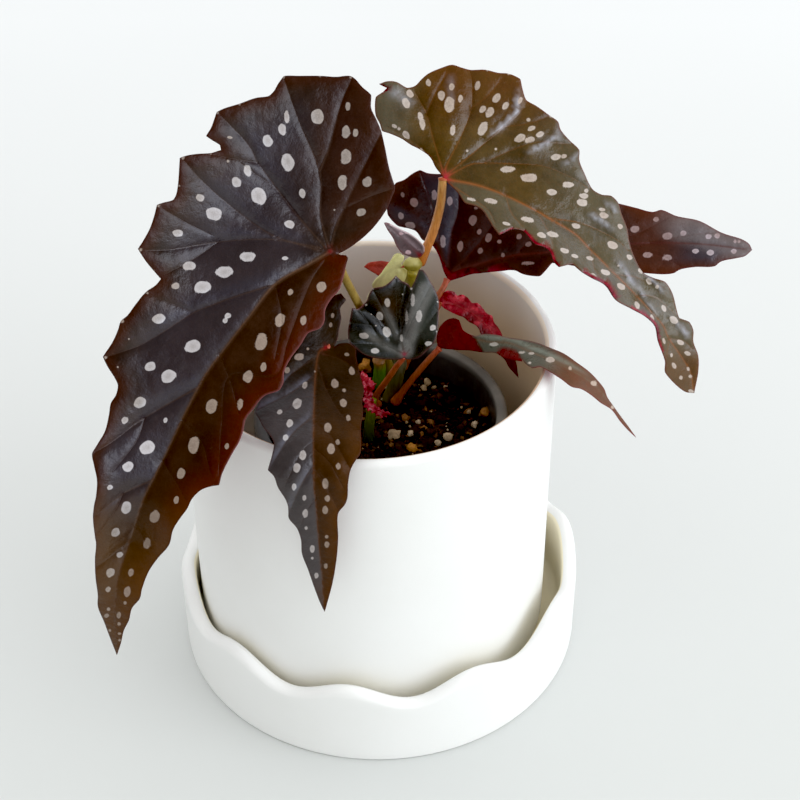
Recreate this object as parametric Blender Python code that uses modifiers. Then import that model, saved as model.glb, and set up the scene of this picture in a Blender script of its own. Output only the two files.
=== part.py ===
"""Potted begonia: a spotted angel-wing type begonia in a black nursery pot, the
nursery pot in a white ceramic pot, and that pot on a ceramic saucer with a wavy rim.

Metres, +Z up.  The origin is on the ceramic pot's axis, on the surface that the
saucer stands on.  +X is to the right and +Y away from a viewer who stands in front.

The turned pieces are profiles with a Screw modifier.  Stems and leaf stalks are bevelled
curves.  A leaf blade is an open sheet with Solidify: its outline is given as it looks
from one fixed viewing point, and a smooth sheet through a few control points says how
far away each part of it is.
"""
import math

import bmesh
import bpy
import numpy as np
from mathutils import Vector
from mathutils.geometry import delaunay_2d_cdt

MM = 0.001

# ------------------------------------------------------------------ driving dimensions
GAP = 0.3 * MM                 # clearance kept between pieces that touch

POT_R = 63.5 * MM              # ceramic pot, outer radius (a 5 inch pot)
POT_WALL = 3.9 * MM
POT_Z0 = 5.3 * MM              # underside, on the saucer's floor
POT_Z1 = 128.3 * MM            # rim
POT_FLOOR = 5.0 * MM           # thickness of the floor
POT_FILLET = 8.0 * MM          # rounded lower edge
POT_DRAIN_R = 6.0 * MM         # drain hole in the middle of the floor

SAUCER_X = 2.6 * MM            # the saucer's axis is a little to the right of the pot's
SAUCER_R = 73.0 * MM
SAUCER_WALL = 5.4 * MM
SAUCER_FLOOR = 5.0 * MM
SAUCER_RIM = 31.0 * MM         # mean height of the rim
SAUCER_WAVE = 3.5 * MM         # the rim rises and falls by this much
SAUCER_WAVES = 10              # waves in one turn
SAUCER_PHASE = math.radians(8.35)

NURSERY_X = 4.0 * MM           # the nursery pot stands off centre too
NURSERY_RIM_R = 43.9 * MM
NURSERY_BAND = 9.0 * MM        # height of the rim band
NURSERY_TOP = 98.4 * MM
NURSERY_FOOT_R = 31.0 * MM
NURSERY_WALL = 1.3 * MM
NURSERY_Z0 = POT_Z0 + POT_FLOOR + GAP
SOIL_TOP = 88.0 * MM

BLADE = 0.8 * MM               # thickness of a leaf blade
STEM_R = 3.1 * MM

# ------------------------------------------------------------------ viewing point
VIEW_EYE = np.array([10.73, -463.295, 473.929]) * MM
VIEW_DOWN = math.radians(38.70)         # how far the line of sight looks down
VIEW_ROLL = math.radians(-0.42)
VIEW_FOCAL = 1722.39                    # distance to the picture plane, in its own units
VIEW_MID = 400.0                        # middle of the picture plane, in its own units

_fwd = np.array([0.0, math.cos(VIEW_DOWN), -math.sin(VIEW_DOWN)])
_right0 = np.array([1.0, 0.0, 0.0])
_up0 = np.cross(_right0, _fwd)
VIEW_FWD = _fwd
VIEW_RIGHT = math.cos(VIEW_ROLL) * _right0 + math.sin(VIEW_ROLL) * _up0
VIEW_UP = -math.sin(VIEW_ROLL) * _right0 + math.cos(VIEW_ROLL) * _up0


def line_of_sight(u, v):
    return (VIEW_FWD + VIEW_RIGHT * (u - VIEW_MID) / VIEW_FOCAL
            - VIEW_UP * (v - VIEW_MID) / VIEW_FOCAL)


def seen(u, v, y, deeper=0.0):
    """The point seen at (u, v) of the picture plane whose y is y millimetres."""
    d = line_of_sight(u, v)
    k = (y * MM - VIEW_EYE[1]) / d[1]
    return VIEW_EYE + (k + deeper * MM) * d


# ------------------------------------------------------------------ scene helpers
for old in list(bpy.data.objects):
    bpy.data.objects.remove(old, do_unlink=True)


def collection(name):
    c = bpy.data.collections.new(name)
    bpy.context.scene.collection.children.link(c)
    return c


PLANT = collection("potted_begonia")
CUTTERS = collection("cutters")


def material(name, colour, roughness, metallic=0.0):
    m = bpy.data.materials.new(name)
    m.use_nodes = True
    b = m.node_tree.nodes["Principled BSDF"]
    b.inputs["Base Color"].default_value = (*colour, 1.0)
    b.inputs["Roughness"].default_value = roughness
    b.inputs["Metallic"].default_value = metallic
    return m


MAT = {
    "saucer": material("saucer_ceramic", (0.86, 0.86, 0.83), 0.55),
    "pot": material("pot_ceramic", (0.88, 0.88, 0.85), 0.55),
    "nursery": material("nursery_plastic", (0.02, 0.02, 0.022), 0.35),
    "soil": material("soil", (0.03, 0.022, 0.016), 0.95),
    "stem": material("stem", (0.28, 0.30, 0.14), 0.55),
    "green": material("green_shoot", (0.30, 0.42, 0.08), 0.5),
    "stipule": material("stipule", (0.62, 0.64, 0.30), 0.5),
    "orange": material("petiole_orange", (0.55, 0.22, 0.09), 0.45),
    "olive": material("petiole_olive", (0.36, 0.36, 0.12), 0.45),
    "dark_leaf": material("leaf_dark", (0.035, 0.022, 0.022), 0.38),
    "olive_leaf": material("leaf_olive", (0.06, 0.055, 0.025), 0.36),
    "green_leaf": material("leaf_green_black", (0.022, 0.03, 0.024), 0.36),
    "red_leaf": material("leaf_red", (0.42, 0.02, 0.05), 0.4),
}


def place(name, mesh, mat, where=PLANT, x=0.0):
    ob = bpy.data.objects.new(name, mesh)
    where.objects.link(ob)
    ob.location = (x, 0.0, 0.0)
    if mat is not None:
        ob.data.materials.append(MAT[mat])
    return ob


def settled(ob):
    """The object's mesh with its modifiers applied, as a new mesh."""
    bpy.context.view_layer.update()
    deps = bpy.context.evaluated_depsgraph_get()
    return bpy.data.meshes.new_from_object(ob.evaluated_get(deps))


def arc(cx, cz, r, a0, a1, n):
    """Points (x, z) along an arc, angles in degrees, without its first point."""
    return [(cx + r * math.cos(math.radians(a0 + (a1 - a0) * i / n)),
             cz + r * math.sin(math.radians(a0 + (a1 - a0) * i / n)))
            for i in range(1, n + 1)]


def turned(name, profile, steps, mat, closed=False, x=0.0):
    """A profile of (radius, height) turned about Z with a Screw modifier."""
    me = bpy.data.meshes.new(name)
    bm = bmesh.new()
    vs = [bm.verts.new((r, 0.0, z)) for r, z in profile]
    for a, b in zip(vs, vs[1:]):
        bm.edges.new((a, b))
    if closed:
        bm.edges.new((vs[-1], vs[0]))
    bm.to_mesh(me)
    bm.free()
    ob = place(name, me, mat, x=x)
    m = ob.modifiers.new("turn", "SCREW")
    m.axis = "Z"
    m.steps = m.render_steps = steps
    m.use_merge_vertices = True
    m.merge_threshold = 0.00002
    m.use_smooth_shade = True
    return ob


def cylinder_cutter(name, radius, z0, z1, x, y, sides=16):
    me = bpy.data.meshes.new(name)
    bm = bmesh.new()
    bmesh.ops.create_cone(bm, cap_ends=True, segments=sides, radius1=radius,
                          radius2=radius, depth=z1 - z0)
    bm.to_mesh(me)
    bm.free()
    ob = place(name, me, None, where=CUTTERS)
    ob.location = (x, y, 0.5 * (z0 + z1))
    ob.hide_render = True
    ob.display_type = "WIRE"
    return ob


def cut(ob, cutter):
    m = ob.modifiers.new("cut_" + cutter.name, "BOOLEAN")
    m.operation = "DIFFERENCE"
    m.object = cutter
    m.solver = "EXACT"


def tube(name, points, radii, mat):
    """A stem or stalk through the points, with a radius for each of them."""
    cu = bpy.data.curves.new(name, "CURVE")
    cu.dimensions = "3D"
    cu.bevel_depth = 1.0
    cu.bevel_resolution = 2
    cu.use_fill_caps = True
    sp = cu.splines.new("POLY")
    sp.points.add(len(points) - 1)
    for p, co, r in zip(sp.points, points, radii):
        p.co = (*co, 1.0)
        p.radius = r
    ob = bpy.data.objects.new(name, cu)
    PLANT.objects.link(ob)
    cu.materials.append(MAT[mat])
    return ob


def smooth_path(points, n):
    """n points along a Catmull-Rom curve through the points."""
    p = [np.array(q, float) for q in points]
    p = [2 * p[0] - p[1]] + p + [2 * p[-1] - p[-2]]
    spans = len(p) - 3
    out = []
    for i in range(n):
        s = i / (n - 1) * spans
        k = min(int(s), spans - 1)
        t = s - k
        a, b, c, d = p[k:k + 4]
        out.append(0.5 * (2 * b + (c - a) * t + (2 * a - 5 * b + 4 * c - d) * t ** 2
                          + (3 * b - a - 3 * c + d) * t ** 3))
    return out


def taper(r0, r1, n):
    return [r0 + (r1 - r0) * i / (n - 1) for i in range(n)]


# ------------------------------------------------------------------ leaf blades
def sheet_through(controls):
    """A smooth sheet y(u, v) through control points (u, v, y): a thin-plate spline."""
    c = np.array(controls, float)
    uv = c[:, :2] / 100.0
    n = len(c)

    def phi(r2):
        return 0.5 * r2 * np.log(np.maximum(r2, 1e-12))

    k = phi(((uv[:, None, :] - uv[None, :, :]) ** 2).sum(2)) + 0.01 * np.eye(n)
    p = np.hstack([np.ones((n, 1)), uv])
    a = np.block([[k, p], [p.T, np.zeros((3, 3))]])
    s = np.linalg.solve(a, np.concatenate([c[:, 2], np.zeros(3)]))

    def f(u, v):
        q = np.array([u, v]) / 100.0
        return float(phi(((uv - q) ** 2).sum(1)) @ s[:n] + s[n] + s[n + 1:] @ q)
    return f


def inside(u, v, ring):
    hit = False
    j = len(ring) - 1
    for i in range(len(ring)):
        (x0, y0), (x1, y1) = ring[i], ring[j]
        if (y0 > v) != (y1 > v) and u < (x1 - x0) * (v - y0) / (y1 - y0) + x0:
            hit = not hit
        j = i
    return hit


def clear_of(u, v, pts, d):
    return all((u - a) ** 2 + (v - b) ** 2 > d * d for a, b in pts)


def blade(name, outline, controls, ribs, mat, pitch=30.0, groove=1.2, thick=BLADE):
    """A leaf blade: outline and ribs as seen, bent to the sheet through controls."""
    y_at = sheet_through(controls)
    rib_pts = []
    for rib in ribs:
        for q in rib:
            if inside(*q, outline) and clear_of(*q, outline + rib_pts, 5.0):
                rib_pts.append(q)
    pts = list(outline) + rib_pts
    us = [q[0] for q in outline]
    vs = [q[1] for q in outline]
    row = 0
    v = min(vs) + 0.5 * pitch
    while v < max(vs):
        u = min(us) + 0.5 * pitch * (1 + row % 2)
        while u < max(us):
            if inside(u, v, outline) and clear_of(u, v, pts, 0.55 * pitch):
                pts.append((u, v))
            u += pitch
        v += 0.87 * pitch
        row += 1
    n = len(outline)
    edges = [(i, (i + 1) % n) for i in range(n)]
    co, _, tris, *_ = delaunay_2d_cdt([Vector((u, -v)) for u, v in pts], edges, [], 1, 1e-4)
    me = bpy.data.meshes.new(name)
    bm = bmesh.new()
    made = []
    for c in co:
        u, v = c[0], -c[1]
        y = y_at(u, v)
        if not clear_of(u, v, rib_pts, 0.5):
            y += groove
        made.append(bm.verts.new(seen(u, v, y)))
    for t in tris:
        bm.faces.new([made[i] for i in t])
    for lone in [x for x in bm.verts if not x.link_faces]:
        bm.verts.remove(lone)
    for f in bm.faces:
        f.smooth = True
    bm.to_mesh(me)
    bm.free()
    ob = place(name, me, mat)
    m = ob.modifiers.new("thickness", "SOLIDIFY")
    m.thickness = thick
    m.offset = 0.0
    m.use_even_offset = False
    return ob


# ------------------------------------------------------------------ saucer
rin = SAUCER_R - SAUCER_WALL
round_r = 0.5 * SAUCER_WALL
prof = [(0.0, SAUCER_FLOOR), (rin - 5 * MM, SAUCER_FLOOR)]
prof += arc(rin - 4 * MM, SAUCER_FLOOR + 4 * MM, 4 * MM, -80, 0, 2)
prof += [(rin, 0.6 * SAUCER_RIM), (rin, SAUCER_RIM - round_r)]
prof += arc(rin + round_r, SAUCER_RIM - round_r, round_r, 180, 0, 4)
prof += [(SAUCER_R, 0.6 * SAUCER_RIM), (SAUCER_R, 4 * MM)]
prof += arc(SAUCER_R - 4 * MM, 4 * MM, 4 * MM, 0, -90, 3)
prof += [(0.0, 0.0)]
raw = turned("saucer_raw", prof, 90, "saucer")
me = settled(raw)
bpy.data.objects.remove(raw, do_unlink=True)
lift_from = 0.55 * SAUCER_RIM          # below this height the wall is plain
for v in me.vertices:
    t = (v.co.z - lift_from) / (SAUCER_RIM - lift_from)
    if t > 0.0:
        azimuth = math.atan2(v.co.x, -v.co.y)
        v.co.z += t * SAUCER_WAVE * math.cos(SAUCER_WAVES * (azimuth + SAUCER_PHASE))
me.name = "saucer"
saucer = place("saucer", me, None, x=SAUCER_X)
saucer.data.shade_smooth()
saucer.data.set_sharp_from_angle(angle=math.radians(50))

# ------------------------------------------------------------------ ceramic pot
pin = POT_R - POT_WALL
floor_z = POT_Z0 + POT_FLOOR
rim_r = 0.5 * POT_WALL
prof = [(POT_DRAIN_R, POT_Z0 + 0.8 * MM), (POT_DRAIN_R, floor_z - 0.8 * MM),
        (POT_DRAIN_R + 0.8 * MM, floor_z), (pin - 5 * MM, floor_z)]
prof += arc(pin - 5 * MM, floor_z + 5 * MM, 5 * MM, -90, 0, 3)
prof += [(pin, POT_Z1 - rim_r)]
prof += arc(pin + rim_r, POT_Z1 - rim_r, rim_r, 180, 0, 4)
prof += [(POT_R, POT_Z0 + POT_FILLET)]
prof += arc(POT_R - POT_FILLET, POT_Z0 + POT_FILLET, POT_FILLET, 0, -90, 4)
prof += [(POT_DRAIN_R + 0.8 * MM, POT_Z0)]
outer_pot = turned("outer_pot", prof, 48, "pot", closed=True)

# ------------------------------------------------------------------ nursery pot
w = NURSERY_WALL
lip_in = NURSERY_RIM_R - 3.8 * MM
z0, z1 = NURSERY_Z0, NURSERY_TOP
band = z1 - NURSERY_BAND
slope = (lip_in - (NURSERY_FOOT_R - w)) / (z1 - z0 - w)     # inner wall, radius by height


def nursery_inner(z):
    return NURSERY_FOOT_R - w + slope * (z - z0 - w)


prof = [(0.0, z0 + w), (nursery_inner(z0 + w) - 2 * MM, z0 + w),
        (nursery_inner(z0 + w + 2 * MM), z0 + w + 2 * MM),
        (lip_in, z1 - 1.0 * MM), (lip_in + 0.8 * MM, z1),
        (NURSERY_RIM_R - 1.0 * MM, z1), (NURSERY_RIM_R, z1 - 1.0 * MM),
        (NURSERY_RIM_R, band + 0.4 * MM), (NURSERY_RIM_R - 0.4 * MM, band),
        (nursery_inner(band) + w, band), (NURSERY_FOOT_R, z0 + 2 * MM),
        (NURSERY_FOOT_R - 1.5 * MM, z0), (0.0, z0)]
raw = turned("nursery_raw", prof, 40, "nursery")
me = settled(raw)
bpy.data.objects.remove(raw, do_unlink=True)
nursery_pot = place("nursery_pot", me, None, x=NURSERY_X)
for i in range(4):
    a = math.radians(45 + 90 * i)
    cut(nursery_pot, cylinder_cutter(
        "drain_%d" % i, 4.0 * MM, z0 - 3 * MM, z0 + w + 3 * MM,
        NURSERY_X + 19 * MM * math.cos(a), 19 * MM * math.sin(a)))

# ------------------------------------------------------------------ soil and stems
STEM_PATH = [seen(413, 275, 15.0), seen(407, 300, 15.0), seen(401, 335, 15.5),
             seen(396, 375, 16.5), seen(391, 402, 17.0)]
foot = STEM_PATH[-1]
STEM_PATH.append(np.array([foot[0] - 0.5 * MM, foot[1], SOIL_TOP - 14 * MM]))
SIDE_PATH = [seen(374, 398, -3.0), seen(371, 414, -4.0), seen(369, 430, -5.0)]
side_foot = SIDE_PATH[-1]
SIDE_PATH.append(np.array([side_foot[0], side_foot[1], SOIL_TOP - 9 * MM]))

s0 = z0 + w + GAP
prof = [(0.0, SOIL_TOP + 1.5 * MM), (0.55 * lip_in, SOIL_TOP + 0.8 * MM),
        (nursery_inner(SOIL_TOP) - GAP, SOIL_TOP - 1.5 * MM),
        (nursery_inner(s0 + 2.6 * MM) - GAP - 0.3 * MM, s0 + 2.6 * MM),
        (nursery_inner(s0) - 2.6 * MM, s0), (0.0, s0)]
raw = turned("soil_raw", prof, 36, "soil")
me = settled(raw)
bpy.data.objects.remove(raw, do_unlink=True)
potting_soil = place("potting_soil", me, None, x=NURSERY_X)
cut(potting_soil, cylinder_cutter("stem_socket", STEM_R + 1.6 * MM, SOIL_TOP - 15 * MM,
                                  SOIL_TOP + 9 * MM, STEM_PATH[-1][0], STEM_PATH[-1][1]))
cut(potting_soil, cylinder_cutter("side_socket", 2.9 * MM, SOIL_TOP - 10 * MM,
                                  SOIL_TOP + 9 * MM, SIDE_PATH[-1][0], SIDE_PATH[-1][1]))

n = 12
tube("main_stem", smooth_path(STEM_PATH, n), taper(2.3 * MM, STEM_R, n), "stem")
n = 6
tube("side_stem", smooth_path(SIDE_PATH, n), taper(1.3 * MM, 2.2 * MM, n), "green")

# ------------------------------------------------------------------ large left leaf
LEFT = [(339, 253), (354, 244), (371, 230), (387, 209), (395, 189), (389, 168), (382, 131),
        (376, 119), (371, 95), (354, 77), (320, 76), (284, 76), (269, 96), (239, 104),
        (216, 113), (206, 136), (221, 149), (185, 156), (179, 171), (175, 198), (157, 205),
        (150, 228), (139, 249), (161, 279), (136, 304), (119, 325), (103, 357), (118, 386),
        (109, 415), (93, 455), (97, 485), (93, 517), (95, 560), (98, 606), (117, 655),
        (129, 620), (149, 571), (173, 530), (192, 499), (219, 485), (240, 440), (264, 396),
        (283, 384), (301, 344), (323, 325), (331, 299), (344, 275), (346, 256)]
LEFT_Y = [(333, 250, -20), (262, 298, -35), (205, 380, -49), (165, 450, -59), (135, 540, -67),
          (117, 655, -72), (140, 598, -77), (173, 530, -76), (219, 485, -70), (243, 431, -60),
          (283, 385, -51), (310, 330, -39), (346, 275, -25), (93, 517, -74), (97, 445, -64),
          (103, 357, -50), (138, 249, -34), (179, 171, -20), (217, 112, -8), (278, 84, 2),
          (353, 76, 6), (371, 110, 0), (392, 178, -11), (300, 170, -8), (210, 250, -24)]
LEFT_RIBS = [[(326, 256), (300, 268), (275, 285), (250, 316), (228, 343), (208, 370),
              (190, 400), (172, 440), (155, 480), (140, 520), (128, 560), (118, 605)],
             [(323, 214), (319, 170), (308, 130)], [(337, 226), (358, 175)],
             [(300, 235), (265, 215), (225, 180)], [(290, 241), (230, 247), (175, 248)],
             [(245, 300), (190, 315), (140, 355)], [(165, 475), (125, 480)]]
blade("leaf_left", LEFT, LEFT_Y, LEFT_RIBS, "dark_leaf", pitch=34)

# ------------------------------------------------------------------ right upper leaf
RIGHT = [(437, 170), (421, 151), (392, 135), (380, 124), (375, 104), (383, 92), (388, 84),
         (407, 87), (422, 79), (452, 66), (485, 70), (520, 79), (526, 100), (558, 122),
         (579, 150), (593, 190), (617, 203), (629, 241), (643, 273), (665, 282), (679, 318),
         (692, 330), (698, 356), (696, 391), (675, 384), (662, 352), (655, 327), (616, 300),
         (592, 278), (559, 266), (544, 247), (523, 232), (499, 234), (482, 210), (464, 202),
         (450, 187)]
RIGHT_Y = [(443, 178, 10), (505, 196, 8), (549, 219, 5), (590, 249, 1), (635, 295, -4),
           (661, 323, -6), (689, 369, -8), (694, 393, -9), (475, 206, 2), (499, 235, -9),
           (544, 247, -8), (559, 267, -14), (582, 272, -12), (605, 285, -13), (630, 308, -14),
           (655, 330, -13), (665, 372, -13), (436, 168, 12), (411, 145, 18), (380, 124, 22),
           (375, 97, 27), (387, 82, 30), (428, 74, 35), (470, 70, 38), (520, 79, 37),
           (558, 122, 30), (579, 160, 24), (611, 196, 18), (634, 257, 6), (665, 282, 2),
           (679, 318, -2), (693, 341, -5), (698, 372, -8)]
RIGHT_RIBS = [[(450, 181), (477, 186), (505, 196), (536, 211), (574, 234), (605, 264),
               (635, 295), (661, 323), (682, 355)],
              [(470, 163), (515, 163), (571, 178)], [(477, 150), (523, 109)],
              [(449, 145), (471, 108)], [(434, 142), (420, 100)]]
blade("leaf_right_upper", RIGHT, RIGHT_Y, RIGHT_RIBS, "olive_leaf", pitch=32)

# ------------------------------------------------------------------ rear right leaf
REAR = [(444, 273), (437, 253), (423, 241), (400, 226), (388, 215), (390, 197), (405, 180),
        (421, 171), (450, 172), (480, 176), (520, 184), (560, 192), (600, 200), (622, 205),
        (661, 211), (699, 221), (733, 237), (751, 248), (735, 258), (700, 266), (655, 273),
        (600, 272), (552, 265), (532, 275), (498, 272), (466, 275)]
REAR_Y = [(447, 281, 25), (388, 200, 38), (421, 171, 42), (500, 180, 43), (600, 200, 43),
          (661, 211, 42), (722, 233, 38), (751, 248, 35), (715, 266, 30), (643, 273, 29),
          (552, 263, 28), (514, 270, 27), (472, 274, 26), (470, 225, 36), (560, 232, 36),
          (650, 243, 36), (430, 240, 32)]
REAR_RIBS = [[(455, 265), (500, 250), (560, 243), (620, 240), (690, 243)],
             [(449, 250), (452, 210)], [(438, 235), (412, 195)], [(470, 245), (500, 215)]]
blade("leaf_rear", REAR, REAR_Y, REAR_RIBS, "dark_leaf", pitch=32)

# ------------------------------------------------------------------ small centre leaf
CENTRE = [(404, 357), (392, 359), (370, 357), (356, 348), (348, 338), (349, 323), (353, 308),
          (366, 303), (373, 289), (388, 284), (396, 277), (409, 285), (419, 271), (430, 281),
          (438, 300), (438, 328), (435, 341), (421, 356)]
CENTRE_Y = [(404, 354, -8), (349, 330, -7), (356, 350, -9), (380, 358, -9), (435, 341, -8),
            (438, 316, -4), (438, 300, -1), (420, 270, 3), (396, 276, 0), (373, 288, -3),
            (395, 318, -3)]
CENTRE_RIBS = [[(393, 336), (375, 310)], [(405, 320), (410, 297)], [(415, 335), (428, 318)],
               [(385, 348), (362, 340)]]
blade("leaf_centre", CENTRE, CENTRE_Y, CENTRE_RIBS, "green_leaf", pitch=18, groove=0.8)

# ------------------------------------------------------------------ front hanging leaf
FRONT = [(331, 345), (337, 328), (340, 305), (346, 300), (341, 294), (325, 300), (305, 322),
         (292, 350), (278, 370), (266, 392), (256, 412), (271, 437), (274, 450), (268, 469),
         (280, 492), (289, 518), (301, 542), (308, 569), (324, 611), (333, 580), (338, 545),
         (339, 513), (347, 500), (350, 471), (360, 454), (362, 425), (364, 391), (358, 366),
         (356, 349), (341, 344)]
FRONT_Y = [(326, 348, -20), (340, 295, -8), (341, 324, -14), (300, 322, -16), (348, 343, -19),
           (356, 349, -21), (358, 366, -27), (364, 391, -37), (363, 413, -48), (360, 454, -67),
           (350, 471, -70.5), (347, 499, -72.5), (338, 537, -73.5), (324, 611, -74),
           (302, 553, -73.5), (288, 506, -72.5), (274, 476, -71), (268, 468, -69.5),
           (272, 443, -63), (255, 413, -51), (275, 385, -39), (296, 352, -26),
           (316, 373, -30), (314, 404, -45), (313, 444, -63.5), (314, 485, -72)]
FRONT_RIBS = [[(318, 356), (315, 380), (314, 404), (313, 444), (314, 485), (318, 530),
               (321, 570)], [(330, 385), (345, 400)], [(295, 400), (275, 420)],
              [(300, 455), (285, 475)]]
blade("leaf_front", FRONT, FRONT_Y, FRONT_RIBS, "dark_leaf", pitch=24, groove=0.8)

# ------------------------------------------------------------------ right lower leaf
LOWER = [(438, 347), (438, 336), (447, 321), (458, 320), (464, 330), (484, 334), (510, 338),
         (537, 343), (564, 354), (588, 371), (606, 392), (621, 417), (636, 437), (620, 421),
         (601, 403), (572, 387), (550, 373), (526, 365), (502, 350), (485, 353), (462, 350)]
LOWER_Y = [(438, 349, 8), (447, 320, 12), (459, 320, 9), (463, 330, 6), (484, 334, 1),
           (510, 338, -3.5), (537, 343, -8.5), (550, 348, -11), (564, 354, -14),
           (588, 371, -20), (607, 397, -22), (636, 437, -23), (612, 410, -25),
           (581, 389, -27), (561, 379, -26), (550, 372, -23.5), (540, 367, -20.5),
           (526, 364, -17), (518, 352, -11), (502, 348, -5), (485, 352, -1), (470, 350, 2),
           (454, 349, 5)]
LOWER_RIBS = [[(462, 338), (490, 343), (520, 350), (550, 360), (580, 378), (610, 405)]]
blade("leaf_right_lower", LOWER, LOWER_Y, LOWER_RIBS, "olive_leaf", pitch=20, groove=0.7)

# ------------------------------------------------------------------ inner red leaf
INNER = [(439, 301), (447, 292), (461, 295), (481, 307), (494, 318), (502, 335), (513, 354),
         (518, 377), (509, 367), (499, 354), (489, 342), (477, 328), (457, 315), (444, 308)]
INNER_Y = [(439, 299, 26), (447, 291, 27), (469, 303, 25), (492, 316, 22), (502, 335, 18.5),
           (514, 356, 16), (518, 378, 15), (501, 356, 14.5), (481, 334, 17), (469, 322, 20),
           (457, 315, 22), (443, 307, 25)]
blade("leaf_inner", INNER, INNER_Y, [[(460, 306), (485, 322), (504, 350)]], "red_leaf",
      pitch=16, groove=0.6)

# ------------------------------------------------------------------ small leaves
BACK = [(364, 267), (371, 263), (382, 261), (394, 263), (404, 269), (402, 276), (388, 279),
        (374, 273)]
BACK_Y = [(364, 267, 37), (382, 261, 37), (404, 268, 30), (402, 278, 27), (386, 279, 31),
          (374, 273, 35)]
blade("leaf_back", BACK, BACK_Y, [[(395, 271), (380, 269)]], "red_leaf", pitch=14, groove=0.4)

YOUNG = [(384, 223), (393, 226), (412, 236), (423, 245), (420, 256), (409, 255), (400, 250),
         (392, 238)]
YOUNG_Y = [(384, 223, 2), (402, 230, 4), (423, 245, 9), (420, 257, 11), (402, 253, 6),
           (392, 238, 3)]
blade("leaf_young", YOUNG, YOUNG_Y, [[(395, 233), (410, 246)]], "dark_leaf", pitch=14,
      groove=0.8)

BUD = [(360, 372), (368, 376), (377, 384), (375, 392), (375, 401), (380, 409), (391, 414),
       (384, 418), (373, 413), (364, 408), (364, 392), (360, 381)]
BUD_Y = [(360, 372, -11), (377, 384, -9), (364, 392, -12), (376, 400, -11), (391, 414, -13),
         (373, 413, -14)]
blade("leaf_bud", BUD, BUD_Y, [[(368, 384), (369, 400)]], "red_leaf", pitch=14, groove=0.5)

# ------------------------------------------------------------------ stipules
SHEATH = [(373, 288), (374, 281), (384, 270), (391, 261), (397, 255), (403, 257), (401, 265),
          (406, 271), (403, 279), (392, 288), (380, 300), (372, 306), (368, 298)]
SHEATH_Y = [(373, 284, 5), (395, 256, 7), (404, 262, 8.5), (406, 272, 9.5), (402, 280, 9),
            (380, 300, 5), (368, 300, 4)]
blade("stipule_large", SHEATH, SHEATH_Y, [[(392, 270), (382, 283)]], "stipule", pitch=14,
      groove=1.2)

HOOD = [(402, 266), (406, 260), (412, 257), (418, 258), (421, 263), (418, 269), (411, 272),
        (406, 271)]
HOOD_Y = [(401, 267, 11), (411, 257, 12), (421, 262, 12.5), (418, 270, 11), (408, 271, 10.5)]
blade("stipule_hood", HOOD, HOOD_Y, [[(412, 264)]], "stipule", pitch=12, groove=-0.8)

# ------------------------------------------------------------------ leaf stalks
def stalk(name, path, r_leaf, r_foot, mat, n=9):
    """A stalk from the underside of its leaf to the stem."""
    tube(name, smooth_path(path, n), taper(r_leaf * MM, r_foot * MM, n), mat)


stalk("petiole_left", [seen(335, 254, -20, 4.0), seen(345, 278, -10), seen(360, 307, 1),
                       seen(375, 335, 7), seen(386, 357, 10.5), seen(389, 372, 12)],
      1.2, 1.5, "olive", 10)
stalk("petiole_right_upper", [seen(442.5, 181, 10, 3.4), seen(441, 201, 11.5),
                              seen(436, 221, 12.5), seen(430, 240, 13), seen(421, 262, 14.5)],
      1.25, 1.6, "orange")
stalk("petiole_rear", [seen(446.5, 283, 25, 2.4), seen(438, 295, 22), seen(425, 312, 20),
                       seen(412, 332, 19.3)], 0.9, 1.2, "orange", 7)
stalk("petiole_centre", [seen(403.5, 357, -8, 2.4), seen(396, 367, -5), seen(387, 380, -1),
                         seen(379, 391, 3), seen(374, 400, 6)], 0.9, 1.1, "orange", 7)
stalk("petiole_front", [seen(328, 349, -20, 2.4), seen(343, 364, -12), seen(358, 381, -1),
                        seen(370, 396, 9), seen(377, 405, 12.5)], 1.0, 1.2, "orange", 8)
stalk("petiole_right_lower", [seen(437, 350, 8, 2.4), seen(425, 364, 9), seen(410, 382, 10.5),
                              seen(397, 400, 12)], 0.9, 1.1, "orange", 7)
stalk("petiole_inner", [seen(439, 304, 26, 2.2), seen(430, 322, 24), seen(416, 345, 22),
                        seen(406, 365, 20.5)], 0.8, 1.0, "orange", 7)
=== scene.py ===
"""The looks of the potted begonia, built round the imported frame.  Metres, +Z up.

Leaf outlines, veins and spots are given as they look from the camera, in an 800 x 800
picture plane, and a smooth sheet through a few control points says how far away each
part of a leaf is.  The turned pieces are profiles swept round their own axis.
"""
import math
import random

import bmesh
import bpy
import numpy as np
from mathutils import Matrix, Vector, noise
from mathutils.geometry import delaunay_2d_cdt
from mathutils.kdtree import KDTree


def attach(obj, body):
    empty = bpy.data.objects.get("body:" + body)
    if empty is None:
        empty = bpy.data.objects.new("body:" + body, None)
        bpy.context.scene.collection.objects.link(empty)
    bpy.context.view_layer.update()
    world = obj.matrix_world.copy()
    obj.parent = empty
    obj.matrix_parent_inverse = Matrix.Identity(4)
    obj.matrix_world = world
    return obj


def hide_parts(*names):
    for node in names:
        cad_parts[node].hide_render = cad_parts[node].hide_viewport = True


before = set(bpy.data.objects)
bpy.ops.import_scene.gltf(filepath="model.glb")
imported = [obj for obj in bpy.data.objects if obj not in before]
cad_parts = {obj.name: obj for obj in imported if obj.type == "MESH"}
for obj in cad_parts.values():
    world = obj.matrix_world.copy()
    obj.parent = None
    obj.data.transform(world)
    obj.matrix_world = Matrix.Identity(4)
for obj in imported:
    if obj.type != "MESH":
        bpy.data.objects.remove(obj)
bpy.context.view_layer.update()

MM = 0.001
BODY = "root"
scene = bpy.context.scene

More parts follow.
